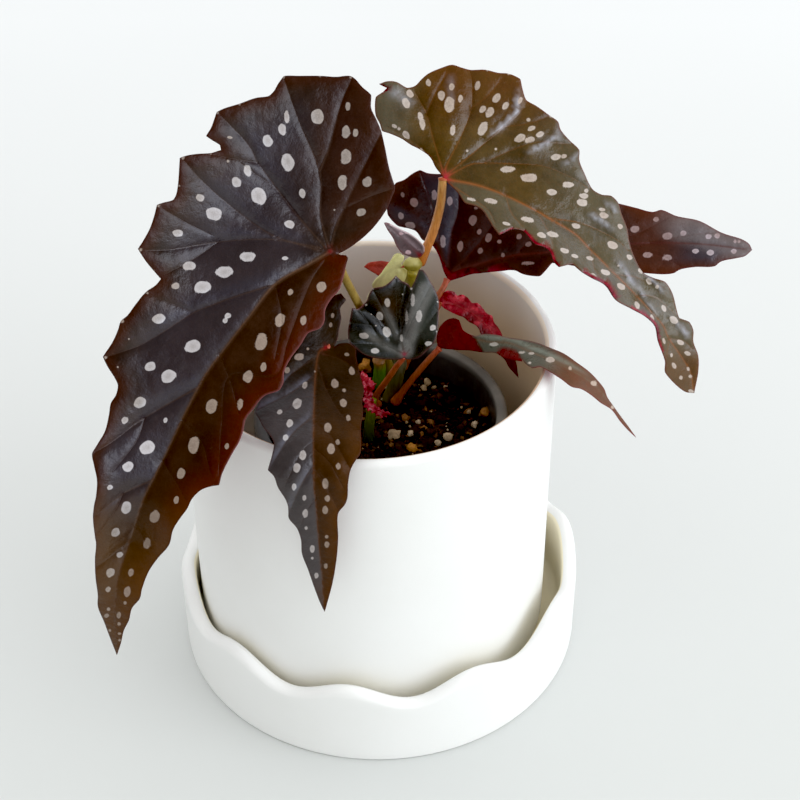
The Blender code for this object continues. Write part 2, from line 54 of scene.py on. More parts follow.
# ------------------------------------------------------------------ sizes, as in the frame
POT_R, POT_WALL, POT_Z0, POT_Z1 = 63.5, 3.9, 5.3, 128.3
SAUCER_X, SAUCER_R, SAUCER_WALL, SAUCER_RIM = 2.6, 73.0, 5.4, 31.0
SAUCER_WAVE, SAUCER_WAVES, SAUCER_PHASE = 3.5, 10, math.radians(8.35)
NURSERY_X, NURSERY_RIM_R, NURSERY_TOP, NURSERY_FOOT_R = 4.0, 43.9, 98.4, 31.0
NURSERY_WALL, NURSERY_Z0, NURSERY_BAND = 1.3, 10.6, 9.0
SOIL_TOP = 88.0

# ------------------------------------------------------------------ camera
EYE = np.array([10.73, -463.295, 473.929])
DOWN, ROLL, FOCAL, MID = math.radians(38.70), math.radians(-0.42), 1722.39, 400.0
_f = np.array([0.0, math.cos(DOWN), -math.sin(DOWN)])
_r = np.array([1.0, 0.0, 0.0])
_u = np.cross(_r, _f)
FWD = _f
RIGHT = math.cos(ROLL) * _r + math.sin(ROLL) * _u
UP = -math.sin(ROLL) * _r + math.cos(ROLL) * _u


def make_camera():
    cam = bpy.data.cameras.new("camera")
    cam.sensor_fit = "HORIZONTAL"
    cam.sensor_width = 36.0
    cam.lens = FOCAL / 800.0 * 36.0
    cam.clip_start = 0.01
    cam.clip_end = 50.0
    ob = bpy.data.objects.new("camera", cam)
    scene.collection.objects.link(ob)
    m = Matrix.Identity(4)
    for i in range(3):
        m[i][0], m[i][1], m[i][2], m[i][3] = RIGHT[i], UP[i], -FWD[i], EYE[i] * MM
    ob.matrix_world = m
    scene.camera = ob


def rays(uv):
    uv = np.asarray(uv, float)
    return (FWD + np.outer((uv[:, 0] - MID) / FOCAL, RIGHT)
            - np.outer((uv[:, 1] - MID) / FOCAL, UP))


def seen(uv, y):
    """Points, in mm, seen at uv whose y (mm) is given."""
    d = rays(uv)
    k = (np.asarray(y, float) - EYE[1]) / d[:, 1]
    return EYE + k[:, None] * d


def seen1(u, v, y, deeper=0.0):
    d = rays([(u, v)])[0]
    k = (y - EYE[1]) / d[1]
    return EYE + (k + deeper) * d


def seen_z(u, v, z):
    d = rays([(u, v)])[0]
    return EYE + (z - EYE[2]) / d[2] * d


# ------------------------------------------------------------------ node helpers
def new_mat(name):
    m = bpy.data.materials.new(name)
    m.use_nodes = True
    nt = m.node_tree
    nt.nodes.clear()
    out = nt.nodes.new("ShaderNodeOutputMaterial")
    b = nt.nodes.new("ShaderNodeBsdfPrincipled")
    nt.links.new(b.outputs[0], out.inputs[0])
    return m, nt, b


class Nodes:
    """Short names for the nodes that every material here uses."""

    def __init__(self, nt):
        self.nt = nt
        self.co = None

    def link(self, a, b):
        self.nt.links.new(a, b)

    def put(self, sock, v):
        if isinstance(v, bpy.types.NodeSocket):
            self.link(v, sock)
        elif isinstance(v, (tuple, list)):
            sock.default_value = (*v, 1.0) if len(v) == 3 and len(sock.default_value) == 4 else v
        else:
            sock.default_value = v

    def coords(self):
        if self.co is None:
            self.co = self.nt.nodes.new("ShaderNodeTexCoord").outputs["Object"]
        return self.co

    def attr(self, name):
        n = self.nt.nodes.new("ShaderNodeAttribute")
        n.attribute_name = name
        return n.outputs["Fac"]

    def noise(self, scale, detail=3.0, rough=0.55, co=None, distortion=0.0):
        n = self.nt.nodes.new("ShaderNodeTexNoise")
        n.inputs["Scale"].default_value = scale
        n.inputs["Detail"].default_value = detail
        n.inputs["Roughness"].default_value = rough
        n.inputs["Distortion"].default_value = distortion
        self.link(co or self.coords(), n.inputs["Vector"])
        return n.outputs["Fac"]

    def voronoi(self, scale, feature="F1", co=None):
        n = self.nt.nodes.new("ShaderNodeTexVoronoi")
        n.feature = feature
        n.inputs["Scale"].default_value = scale
        self.link(co or self.coords(), n.inputs["Vector"])
        return n.outputs["Distance"]

    def math(self, op, a, b=0.0, c=None, clamp=False):
        n = self.nt.nodes.new("ShaderNodeMath")
        n.operation = op
        n.use_clamp = clamp
        self.put(n.inputs[0], a)
        self.put(n.inputs[1], b)
        if c is not None:
            self.put(n.inputs[2], c)
        return n.outputs[0]

    def ramp(self, v, a, b, lo=0.0, hi=1.0, smooth=False):
        n = self.nt.nodes.new("ShaderNodeMapRange")
        n.interpolation_type = "SMOOTHSTEP" if smooth else "LINEAR"
        n.clamp = True
        self.put(n.inputs["Value"], v)
        n.inputs["From Min"].default_value = a
        n.inputs["From Max"].default_value = b
        n.inputs["To Min"].default_value = lo
        n.inputs["To Max"].default_value = hi
        return n.outputs["Result"]

    def mix(self, f, a, b, blend="MIX"):
        n = self.nt.nodes.new("ShaderNodeMix")
        n.data_type = "RGBA"
        n.blend_type = blend
        n.clamp_factor = True
        self.put(n.inputs["Factor"], f)
        self.put(n.inputs[6], a)
        self.put(n.inputs[7], b)
        return n.outputs[2]

    def bump(self, height, strength, distance, normal=None):
        n = self.nt.nodes.new("ShaderNodeBump")
        n.inputs["Strength"].default_value = strength
        n.inputs["Distance"].default_value = distance
        self.link(height, n.inputs["Height"])
        if normal is not None:
            self.link(normal, n.inputs["Normal"])
        return n.outputs["Normal"]

    def z(self):
        n = self.nt.nodes.new("ShaderNodeSeparateXYZ")
        self.link(self.coords(), n.inputs[0])
        return n.outputs[2]


# ------------------------------------------------------------------ mesh helpers
def finish_piece(ob, replaces=()):
    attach(ob, BODY)
    if replaces:
        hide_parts(*replaces)
    return ob


def mesh_object(name, verts_mm, faces, mats, smooth=True, face_mats=None, attrs=None):
    me = bpy.data.meshes.new(name)
    me.from_pydata([tuple(p) for p in (np.asarray(verts_mm) * MM)], [], faces)
    for m in mats:
        me.materials.append(m)
    if face_mats is not None:
        me.polygons.foreach_set("material_index", np.asarray(face_mats, np.int32))
    if smooth:
        me.shade_smooth()
    for k, v in (attrs or {}).items():
        a = me.attributes.new(k, "FLOAT", "POINT")
        a.data.foreach_set("value", np.asarray(v, np.float32))
    me.update()
    ob = bpy.data.objects.new(name, me)
    scene.collection.objects.link(ob)
    return ob


def arc(cx, cz, r, a0, a1, n):
    return [(cx + r * math.cos(math.radians(a0 + (a1 - a0) * i / n)),
             cz + r * math.sin(math.radians(a0 + (a1 - a0) * i / n)))
            for i in range(n + 1)]


def refine(profile, step):
    out = []
    for (a, b), (c, d) in zip(profile, profile[1:]):
        n = max(1, int(math.hypot(c - a, d - b) / step))
        out += [(a + (c - a) * i / n, b + (d - b) * i / n) for i in range(n)]
    return out + [profile[-1]]


def lathe(name, profile, steps, mats, x=0.0, warp=None, closed=True, attrs=None, pick=None):
    """Sweeps a profile of (radius, height), listed down the outside and up the inside."""
    prof = list(profile)
    n = len(prof)
    verts, az = [], []
    for j in range(steps):
        a = 2 * math.pi * j / steps
        for r, z in prof:
            verts.append((r * math.sin(a), -r * math.cos(a), z))
            az.append(a)
    verts = np.array(verts)
    if warp is not None:
        verts = warp(verts)
    rs = np.tile([p[0] for p in prof], steps)
    zs = np.tile([p[1] for p in prof], steps)
    faces, fm = [], []
    rows = n if closed else n - 1
    for j in range(steps):
        k = (j + 1) % steps
        for i in range(rows):
            i2 = (i + 1) % n
            a, b, c, d = j * n + i, k * n + i, k * n + i2, j * n + i2
            ra, rc = prof[i][0] < 1e-6, prof[i2][0] < 1e-6
            if ra and rc:
                continue
            f = (a, d, c, b)
            faces.append(f)
            fm.append(pick(i) if pick else 0)
    bm_v = verts + np.array([x, 0, 0])
    ob = mesh_object(name, bm_v, faces, mats, face_mats=fm,
                     attrs={k: f(rs, zs) for k, f in (attrs or {}).items()})
    bm = bmesh.new()
    bm.from_mesh(ob.data)
    bmesh.ops.remove_doubles(bm, verts=bm.verts, dist=1e-6)
    bmesh.ops.recalc_face_normals(bm, faces=bm.faces)
    bm.to_mesh(ob.data)
    bm.free()
    ob.data.shade_smooth()
    return ob


def catmull(points, n):
    p = [np.array(q, float) for q in points]
    p = [2 * p[0] - p[1]] + p + [2 * p[-1] - p[-2]]
    spans = len(p) - 3
    out = []
    for i in range(n):
        s = i / (n - 1) * spans
        k = min(int(s), spans - 1)
        t = s - k
        a, b, c, d = p[k:k + 4]
        out.append(0.5 * (2 * b + (c - a) * t + (2 * a - 5 * b + 4 * c - d) * t ** 2
                          + (3 * b - a - 3 * c + d) * t ** 3))
    return np.array(out)


def tube(name, points, radius, mats, rings=60, sides=20, squash=1.0, bumps=0.0, seed=0,
         attrs=None):
    """A stalk through the points.  radius is a function of 0..1 along it, in mm."""
    path = catmull(points, rings)
    tang = np.gradient(path, axis=0)
    tang /= np.linalg.norm(tang, axis=1)[:, None]
    side = np.cross(tang[0], [0.3, 1.0, 0.2])
    verts, ts = [], []
    for i in range(rings):
        side = side - tang[i] * side.dot(tang[i])
        side /= np.linalg.norm(side)
        other = np.cross(tang[i], side)
        t = i / (rings - 1)
        r0 = radius(t)
        for j in range(sides):
            a = 2 * math.pi * j / sides
            r = r0 * (1 + bumps * noise.noise(Vector((math.cos(a) * 1.3 + seed, math.sin(a) * 1.3,
                                                      t * 9.0))))
            verts.append(path[i] + r * (math.cos(a) * side + squash * math.sin(a) * other))
            ts.append(t)
    faces = []
    for i in range(rings - 1):
        for j in range(sides):
            k = (j + 1) % sides
            faces.append((i * sides + j, i * sides + k, (i + 1) * sides + k, (i + 1) * sides + j))
    for end, ring in ((0, 0), (1, rings - 1)):
        c = len(verts)
        bulge = (-1 if end == 0 else 1) * 0.35 * radius(float(end))
        verts.append(path[ring] + tang[ring] * bulge)
        ts.append(float(end))
        for j in range(sides):
            k = (j + 1) % sides
            a, b = ring * sides + j, ring * sides + k
            faces.append((b, a, c) if end == 0 else (a, b, c))
    ob = mesh_object(name, verts, faces, mats, attrs={"along": ts})
    bm = bmesh.new()
    bm.from_mesh(ob.data)
    bmesh.ops.recalc_face_normals(bm, faces=bm.faces)
    bm.to_mesh(ob.data)
    bm.free()
    return ob


# ------------------------------------------------------------------ leaf sheets
def sheet_through(controls):
    """A smooth sheet y(u, v) through control points (u, v, y): a thin-plate spline."""
    c = np.array(controls, float)
    uv = c[:, :2] / 100.0
    n = len(c)

    def phi(r2):
        return 0.5 * r2 * np.log(np.maximum(r2, 1e-12))

    k = phi(((uv[:, None, :] - uv[None, :, :]) ** 2).sum(2)) + 0.01 * np.eye(n)
    p = np.hstack([np.ones((n, 1)), uv])
    a = np.block([[k, p], [p.T, np.zeros((3, 3))]])
    s = np.linalg.solve(a, np.concatenate([c[:, 2], np.zeros(3)]))

    def f(q):
        q = np.asarray(q, float) / 100.0
        d2 = ((q[:, None, :] - uv[None, :, :]) ** 2).sum(2)
        return phi(d2) @ s[:n] + s[n] + q @ s[n + 1:]
    return f


def near(ox, oy, s, *pts):
    """Readings taken on an enlarged view whose corner is (ox, oy) and whose scale is s."""
    return [(ox + p[0] * s, oy + p[1] * s) + tuple(q * s for q in p[2:4]) for p in pts]


def rounded(ring, step=2.2, lo=28.0, hi=75.0):
    """A closed outline through ring, curved between its points but sharp at its teeth."""
    p = np.array(ring, float)
    n = len(p)
    tang = np.zeros_like(p)
    for i in range(n):
        a, b, c = p[i - 1], p[i], p[(i + 1) % n]
        e0, e1 = b - a, c - b
        l0, l1 = np.linalg.norm(e0), np.linalg.norm(e1)
        turn = abs(math.degrees(math.atan2(e0[0] * e1[1] - e0[1] * e1[0], e0 @ e1)))
        k = min(1.0, max(0.0, (hi - turn) / (hi - lo)))
        t = e0 / max(l0, 1e-6) + e1 / max(l1, 1e-6)
        t /= max(np.linalg.norm(t), 1e-6)
        tang[i] = t * k
    out = []
    for i in range(n):
        a, b = p[i], p[(i + 1) % n]
        ln = np.linalg.norm(b - a)
        m0, m1 = tang[i] * ln, tang[(i + 1) % n] * ln
        k = max(1, int(round(ln / step)))
        for j in range(k):
            t = j / k
            h00, h10 = 2 * t ** 3 - 3 * t ** 2 + 1, t ** 3 - 2 * t ** 2 + t
            h01, h11 = -2 * t ** 3 + 3 * t ** 2, t ** 3 - t ** 2
            s0 = np.linalg.norm(tang[i])
            s1 = np.linalg.norm(tang[(i + 1) % n])
            lin = a + (b - a) * t
            cur = h00 * a + h10 * m0 + h01 * b + h11 * m1
            w = s0 * (1 - t) + s1 * t
            out.append(lin + (cur - lin) * w)
    return np.array(out)


def seg_distance(q, line, closed=False):
    """Distance from points q to a polyline, how far along it (0..1), and its side."""
    line = np.asarray(line, float)
    a = line if closed else line[:-1]
    b = np.roll(line, -1, 0) if closed else line[1:]
    ab = b - a
    l2 = np.maximum((ab ** 2).sum(1), 1e-9)
    ln = np.sqrt(l2)
    start = np.concatenate([[0], np.cumsum(ln)[:-1]])
    total = ln.sum()
    best = np.full(len(q), 1e9)
    along = np.zeros(len(q))
    side = np.zeros(len(q))
    for i in range(len(a)):
        d = q - a[i]
        t = np.clip((d @ ab[i]) / l2[i], 0, 1)
        off = d - t[:, None] * ab[i]
        dist = np.sqrt((off ** 2).sum(1))
        m = dist < best
        best[m] = dist[m]
        along[m] = (start[i] + t[m] * ln[i]) / total
        side[m] = np.sign(ab[i][0] * d[m, 1] - ab[i][1] * d[m, 0])
    return best, along, side


def inside_many(q, ring):
    hit = np.zeros(len(q), bool)
    x, y = q[:, 0], q[:, 1]
    j = len(ring) - 1
    for i in range(len(ring)):
        x0, y0 = ring[i]
        x1, y1 = ring[j]
        if y0 != y1:
            m = ((y0 > y) != (y1 > y)) & (x < (x1 - x0) * (y - y0) / (y1 - y0) + x0)
            hit ^= m
        j = i
    return hit


def smooth01(t):
    t = np.clip(t, 0, 1)
    return t * t * (3 - 2 * t)


def wobble(q, scale, seed, dims=2):
    return np.array([noise.noise(Vector((p[0] / scale + seed * 7.3, p[1] / scale - seed * 3.1,
                                         seed * 1.7))) for p in q])


def sheen(f, off, wd):
    """A band along the upper flank of every side vein."""
    return np.exp(-((f["flank"] - off) / wd) ** 2)


def radial(u, v, sinus, k):
    """Stretches by k along the line from the sinus, as the spots here are."""
    t = math.atan2(v - sinus[1], u - sinus[0])
    c, s = math.cos(t), math.sin(t)
    r = np.array([[c, -s], [s, c]])
    return r @ np.diag([k, 1 / k]) @ r.T


def leaf(name, outline, depth, sinus, midrib, veins=(), minor=(), spots=(), dots=(),
         pitch=4.2, pleat=1.5, pleat_w=9.0, minor_h=0.5, minor_w=4.5, curl=0.9, curl_w=5.0,
         waves=0.35, thick=0.3, mats=(), sheen_and_shade_paint=None, redbrown_glow=None, pink=None, seed=1,
         vein_w=1.1, extra=None, replaces=None, reach=60.0, folds=(), stretch=1.1,
         fine=0.05, step=2.2, groove=0.26, ridges=(), heart_r=1.0, light=None,
         matte=None):
    """One leaf.  pleat: how deep the blade creases at its main veins, in mm."""
    rnd = random.Random(seed)
    ring = rounded(outline, step)
    pts = [ring]

    def bend(ln):
        k = max(4, int(sum(math.dist(a, b) for a, b in zip(ln, ln[1:])) / 2.6))
        return catmull([(*p, 0.0) for p in ln], k)[:, :2]

    midrib, veins, minor = bend(midrib), [bend(v) for v in veins], [bend(v) for v in minor]

    def keep_inside(q, gap):
        d, _, _ = seg_distance(q, ring, True)
        return q[inside_many(q, ring) & (d > gap)]

    t = np.roll(ring, -1, 0) - np.roll(ring, 1, 0)
    t /= np.maximum(np.linalg.norm(t, axis=1), 1e-6)[:, None]
    area = 0.5 * np.sum(ring[:, 0] * np.roll(ring[:, 1], -1) - np.roll(ring[:, 0], -1) * ring[:, 1])
    nrm = np.stack([-t[:, 1], t[:, 0]], 1) * (1 if area > 0 else -1)
    for off in (0.9, 2.4):
        pts.append(keep_inside(ring + nrm * off, off * 0.85))
    lines = [(midrib, 1.5 * vein_w, 1.0)] + [(v, vein_w, 0.8) for v in veins]
    small = [(v, 0.7 * vein_w, 0.4) for v in minor]

    def beside(ln, offs, closed=False, gap=1.2):
        c = rounded(ln, 1.6) if closed else ln
        tt = np.gradient(c, axis=0)
        tt /= np.maximum(np.linalg.norm(tt, axis=1), 1e-6)[:, None]
        nn = np.stack([-tt[:, 1], tt[:, 0]], 1)
        return [keep_inside(c + nn * off, gap) for off in offs]

    for ln, w, _ in lines + small:
        pts += beside(ln, (0.0, w, -w, 2.6 * w, -2.6 * w))
    for poly, _ in folds:
        pts += beside(poly, (0.0, 0.45, -0.45), closed=True, gap=0.4)
    blobs = []
    for s in list(spots) + [(a, b, c, c) for a, b, c in dots]:
        u, v, rx, ry = s
        big = max(rx, ry) > 2.2
        A = radial(u, v, sinus, stretch if big else 1.0) @ np.diag([rx, ry])
        n = 20 if big else 10
        h = [(m, rnd.uniform(0.01, lim), rnd.uniform(0, 6.3)) for m, lim in
             ((3, 0.055), (4, 0.04), (5, 0.035), (6, 0.03))]
        blobs.append((u, v, A, np.linalg.inv(A), h, big))
        a = np.arange(n) / n * 2 * math.pi
        lobe = 1 + sum(k * np.cos(m * a + ph) for m, k, ph in h)
        e = (A @ np.stack([lobe * np.cos(a), lobe * np.sin(a)])).T
        rr = np.linalg.norm(e, axis=1)[:, None]
        for grow in (-0.4, 0.4, 1.5):
            pts.append(keep_inside(np.array([u, v]) + e * (1 + grow / rr), 0.8))
        if big:
            pts.append(keep_inside(np.vstack([[(u, v)], np.array([u, v]) + e[::3] * 0.5]), 0.8))
    fixed = np.vstack([p for p in pts if len(p)])
    tree = KDTree(len(fixed))
    for i, p in enumerate(fixed):
        tree.insert((p[0], p[1], 0), i)
    tree.balance()
    keep = np.ones(len(fixed), bool)
    for i in range(len(fixed)):
        if not keep[i]:
            continue
        for _, j, _ in tree.find_range((fixed[i][0], fixed[i][1], 0), 0.55):
            if j > i and j >= len(ring):
                keep[j] = False
    fixed = fixed[keep]
    tree = KDTree(len(fixed))
    for i, p in enumerate(fixed):
        tree.insert((p[0], p[1], 0), i)
    tree.balance()
    lo, hi = ring.min(0), ring.max(0)
    rows = np.arange(lo[1], hi[1], 0.87 * pitch)
    cols = np.arange(lo[0], hi[0], pitch)
    gu, gv = np.meshgrid(cols, rows)
    gu = gu + 0.5 * pitch * (np.arange(len(rows)) % 2)[:, None]
    grid = keep_inside(np.stack([gu.ravel(), gv.ravel()], 1), 2.0)
    grid = np.array([g for g in grid if tree.find((g[0], g[1], 0))[2] > 0.55 * pitch]).reshape(-1, 2)
    allp = np.vstack([fixed, grid]) if len(grid) else fixed
    n = len(ring)
    edges = [(i, (i + 1) % n) for i in range(n)]
    co, _, tris, *_ = delaunay_2d_cdt([Vector((p[0], -p[1])) for p in allp], edges, [], 1, 1e-3)
    q = np.array([(c[0], -c[1]) for c in co])
    used = np.zeros(len(q), bool)
    used[np.array(tris).ravel()] = True
    remap = np.cumsum(used) - 1
    q = q[used]
    tris = remap[np.array(tris)].tolist()

    # ---- fields over the blade
    d_edge, _, _ = seg_distance(q, ring, True)
    r_sin = np.hypot(q[:, 0] - sinus[0], q[:, 1] - sinus[1])
    grow = smooth01((r_sin - 3.0) / reach)
    near_main = np.full(len(q), 1e9)
    flank = np.full(len(q), 1e9)          # signed distance from the nearest side vein
    crowd = np.zeros(len(q))
    vein = np.zeros(len(q))
    cut = np.zeros(len(q))
    d_mid, along_mid, side = seg_distance(q, midrib)
    for i, (ln, w, k) in enumerate(lines):
        dist, along, way = seg_distance(q, ln)
        near_main = np.minimum(near_main, dist)
        if i:
            flank = np.where(dist < np.abs(flank), dist * way, flank)
        crowd += np.exp(-dist / 4.0)
        ww = w * (1.0 - 0.6 * along)
        vein = np.maximum(vein, k * np.exp(-(dist / ww) ** 2) * (1 - 0.5 * along))
        cut = np.maximum(cut, (0.6 + 0.4 * k) * (1 - 0.55 * along) * (
            np.exp(-(dist / (1.9 * ww)) ** 2) - 0.85 * np.exp(-(dist / (0.7 * ww)) ** 2)))
    near_small = np.full(len(q), 1e9)
    for ln, w, k in small:
        dist, along, _ = seg_distance(q, ln)
        near_small = np.minimum(near_small, dist)
        vein = np.maximum(vein, k * np.exp(-(dist / w) ** 2) * (1 - 0.5 * along))
        cut = np.maximum(cut, 0.45 * (1 - 0.6 * along) * np.exp(-(dist / (1.8 * w)) ** 2))
    soft = np.maximum(-4.0 * np.log(crowd + 1e-30), 0)
    relief = pleat * grow * (1 - np.exp(-soft / pleat_w)) - 0.5 * pleat * grow
    if small:
        relief += minor_h * grow * (1 - np.exp(-near_small / minor_w)) - 0.5 * minor_h * grow
    relief += waves * (wobble(q, 26.0, seed) + 0.45 * wobble(q, 11.0, seed + 5)) * (0.3 + 0.7 * grow)
    relief += fine * wobble(q, 3.6, seed + 9)
    relief -= curl * np.exp(-d_edge / curl_w)
    relief -= groove * cut * smooth01(r_sin / 6.0)
    for ln, h, wd in ridges:
        dist, along, _ = seg_distance(q, ln)
        relief += h * np.exp(-(dist / wd) ** 2) * smooth01(d_edge / 3.0)
    fold = np.zeros(len(q))
    for poly, drop in folds:
        r2 = rounded(poly, 1.6)
        dd, _, _ = seg_distance(q, r2, True)
        sd = np.where(inside_many(q, r2), dd, -dd)
        fold = np.maximum(fold, np.clip(0.5 + sd / 0.8, 0, 1))
        relief -= drop * smooth01(0.5 + sd / 1.4)
    if extra is not None:
        relief += extra(q, d_edge, d_mid, along_mid, side, r_sin)
    y = sheet_through(depth)(q) - 0.8 * relief
    xyz = seen(q, y)

    spot = np.zeros(len(q))
    core = np.zeros(len(q))
    for u, v, A, inv, h, big in blobs:
        du, dv = q[:, 0] - u, q[:, 1] - v
        m = np.hypot(du, dv) < 14
        if not m.any():
            continue
        e = inv @ np.stack([du[m], dv[m]])
        rho = np.maximum(np.linalg.norm(e, axis=0), 1e-6)
        a = np.arctan2(e[1], e[0])
        lobe = 1 + sum(k * np.cos(k2 * a + ph) for k2, k, ph in h)
        unit = np.linalg.norm(A @ np.stack([np.cos(a), np.sin(a)]), axis=0)
        s = np.clip(0.5 + (lobe - rho) * unit / 0.8, 0, 1)
        spot[m] = np.maximum(spot[m], s)
        if big:
            core[m] = np.maximum(core[m], np.clip(1.15 - 1.5 * rho, 0, 1))
    d_rim = np.clip((1.1 - d_edge) / 0.8, 0, 1)
    near_v = np.exp(-(near_main / 1.6) ** 2)
    rh = r_sin / heart_r
    heart = np.exp(-(rh / 3.2) ** 2) * 0.6 + np.exp(-(rh / 7.0) ** 2) * near_v * 0.7
    f = dict(q=q, d_edge=d_edge, d_mid=d_mid, along=along_mid, side=side, r=r_sin,
             vein=vein, near=near_main, small=near_small, flank=flank)
    zero = np.zeros(len(q))
    attrs = {"spot": spot * (1 - fold), "core": core, "vein": np.clip(vein, 0, 1), "rim": d_rim,
             "heart": np.clip(heart, 0, 1), "fold": fold,
             "mid": np.exp(-(d_mid / (1.3 * vein_w)) ** 2) * (1 - 0.6 * along_mid),
             # painted sheen on the leaf tops, painted shade on the inner leaf
             "sheen_and_shade_paint": np.clip(sheen_and_shade_paint(f), 0, 1) if sheen_and_shade_paint else zero,
             # a red-brown, partly the leaf's own and partly a painted glow of light shining through it
             "redbrown_glow": np.clip(redbrown_glow(f), 0, 1) if redbrown_glow else zero,
             "pink": np.clip(pink(f), 0, 1) if pink else zero,
             "light": np.clip(light(f), 0, 1) if light else zero,
             "matte": np.clip(matte(f), 0, 1) if matte else zero}
    ob = mesh_object(name, xyz, tris, list(mats), attrs=attrs)
    sol = ob.modifiers.new("thickness", "SOLIDIFY")
    sol.thickness = thick * MM
    sol.offset = 0.0
    sol.use_even_offset = False
    sol.material_offset = 1
    sol.material_offset_rim = 2
    finish_piece(ob, replaces or (name.replace("_blade", ""),))
    return ob


# ------------------------------------------------------------------ leaf materials
def leaf_top(name, brown, sheen_slate, redbrown_glow, vein_col, mid_col=None, rim_col=(0.05, 0.010, 0.006),
             pink_col=(0.50, 0.20, 0.22), rough=0.33, spot_col=(0.34, 0.29, 0.255),
             heart_col=(0.22, 0.006, 0.010), spec=0.5, mottle=0.3,
             red=((0.05, 0.001, 0.002), (0.24, 0.008, 0.022)), swell=0.35,
             light_col=(0.10, 0.10, 0.10), sheen_spot_col=(0.52, 0.51, 0.54), net_f=0.10):
    m, nt, b = new_mat(name)
    k = Nodes(nt)
    big = k.noise(95.0, 3.0, 0.6)
    mid = k.noise(330.0, 3.0, 0.6)
    fine = k.noise(1100.0, 3.0, 0.6)
    base = k.mix(k.ramp(big, 0.35, 0.68), tuple(c * (1 - mottle) for c in brown),
                 tuple(min(1, c * (1 + mottle)) for c in brown))
    # a slate tone painted where the top catches the window's sheen
    sheen_and_shade_paint_f = k.math("MULTIPLY", k.attr("sheen_and_shade_paint"), k.ramp(big, 0.25, 0.6, 0.6, 1.0))
    base = k.mix(sheen_and_shade_paint_f, base, sheen_slate)
    # red-brown, partly the leaf's own and partly a painted glow of light through the leaf
    redbrown_glow_f = k.math("MULTIPLY", k.attr("redbrown_glow"), k.ramp(mid, 0.3, 0.65, 0.7, 1.0))
    base = k.mix(redbrown_glow_f, base, redbrown_glow)
    base = k.mix(k.math("MULTIPLY", k.attr("light"), k.ramp(mid, 0.25, 0.7, 0.7, 1.0)), base,
                 light_col)
    net = k.ramp(k.voronoi(620.0, "DISTANCE_TO_EDGE"), 0.0, 0.09, 1.0, 0.0)
    base = k.mix(k.math("MULTIPLY", net, net_f), base, vein_col)
    base = k.mix(k.ramp(fine, 0.66, 0.82, 0.0, 0.30), base, tuple(min(1, 1.8 * c + 0.012)
                                                                for c in sheen_slate))
    base = k.mix(k.math("MULTIPLY", k.attr("vein"), 0.75, clamp=True), base, vein_col)
    base = k.mix(k.math("MULTIPLY", k.attr("mid"), 0.85, clamp=True), base, mid_col or vein_col)
    speck = k.noise(1700.0, 2.0, 0.7)
    sc = k.mix(k.ramp(speck, 0.36, 0.66), tuple(c * 0.80 for c in spot_col),
               tuple(c * 1.12 for c in spot_col))
    # spots painted brighter and bluer where the sheen is painted
    sc = k.mix(k.math("MULTIPLY", k.attr("sheen_and_shade_paint"), 0.85), sc, sheen_spot_col)
    sc = k.mix(k.ramp(k.attr("core"), 0.1, 0.75, 0.0, 0.30), sc, tuple(c * 0.62 for c in spot_col))
    sc = k.mix(k.ramp(k.attr("core"), 0.95, 1.1, 0.0, 0.5), sc, tuple(c * 0.35 for c in spot_col))
    # less gloss where matte or glowing; spots there are painted darker and browner as shade
    dull_and_shaded = k.math("MAXIMUM", k.attr("redbrown_glow"), k.attr("matte"))
    sc = k.mix(k.math("MULTIPLY", dull_and_shaded, 0.50), sc, tuple(c * d for c, d in zip(
        spot_col, (0.72, 0.55, 0.44))))
    base = k.mix(k.attr("spot"), base, sc)
    base = k.mix(k.attr("heart"), base, heart_col)
    rim = k.mix(k.attr("pink"), rim_col, pink_col)
    rim_f = k.math("MULTIPLY", k.attr("rim"), k.math("SUBTRACT", 1.0, k.attr("spot")))
    base = k.mix(k.math("MULTIPLY", rim_f, 0.85), base, rim)
    crimson = k.mix(k.ramp(mid, 0.32, 0.68), red[0], red[1])
    base = k.mix(k.attr("fold"), base, crimson)
    k.link(base, b.inputs["Base Color"])
    r = k.ramp(mid, 0.3, 0.7, rough - 0.05, rough + 0.07)
    r = k.math("ADD", r, k.math("MULTIPLY", k.attr("spot"), 0.06))
    k.link(r, b.inputs["Roughness"])
    k.link(k.ramp(dull_and_shaded, 0.0, 1.0, spec, 0.16 * spec), b.inputs["Specular IOR Level"])
    cells = k.voronoi(1900.0, "SMOOTH_F1")
    h = k.math("ADD", k.math("MULTIPLY", cells, 0.5), k.math("MULTIPLY", fine, 0.7))
    h = k.math("SUBTRACT", h, k.math("MULTIPLY", net, 0.25))
    n1 = k.bump(k.math("ADD", mid, k.math("MULTIPLY", k.noise(150.0, 2.0), 1.6)), swell, 0.0009)
    k.link(k.bump(h, 0.30, 0.00018, normal=n1), b.inputs["Normal"])
    return m


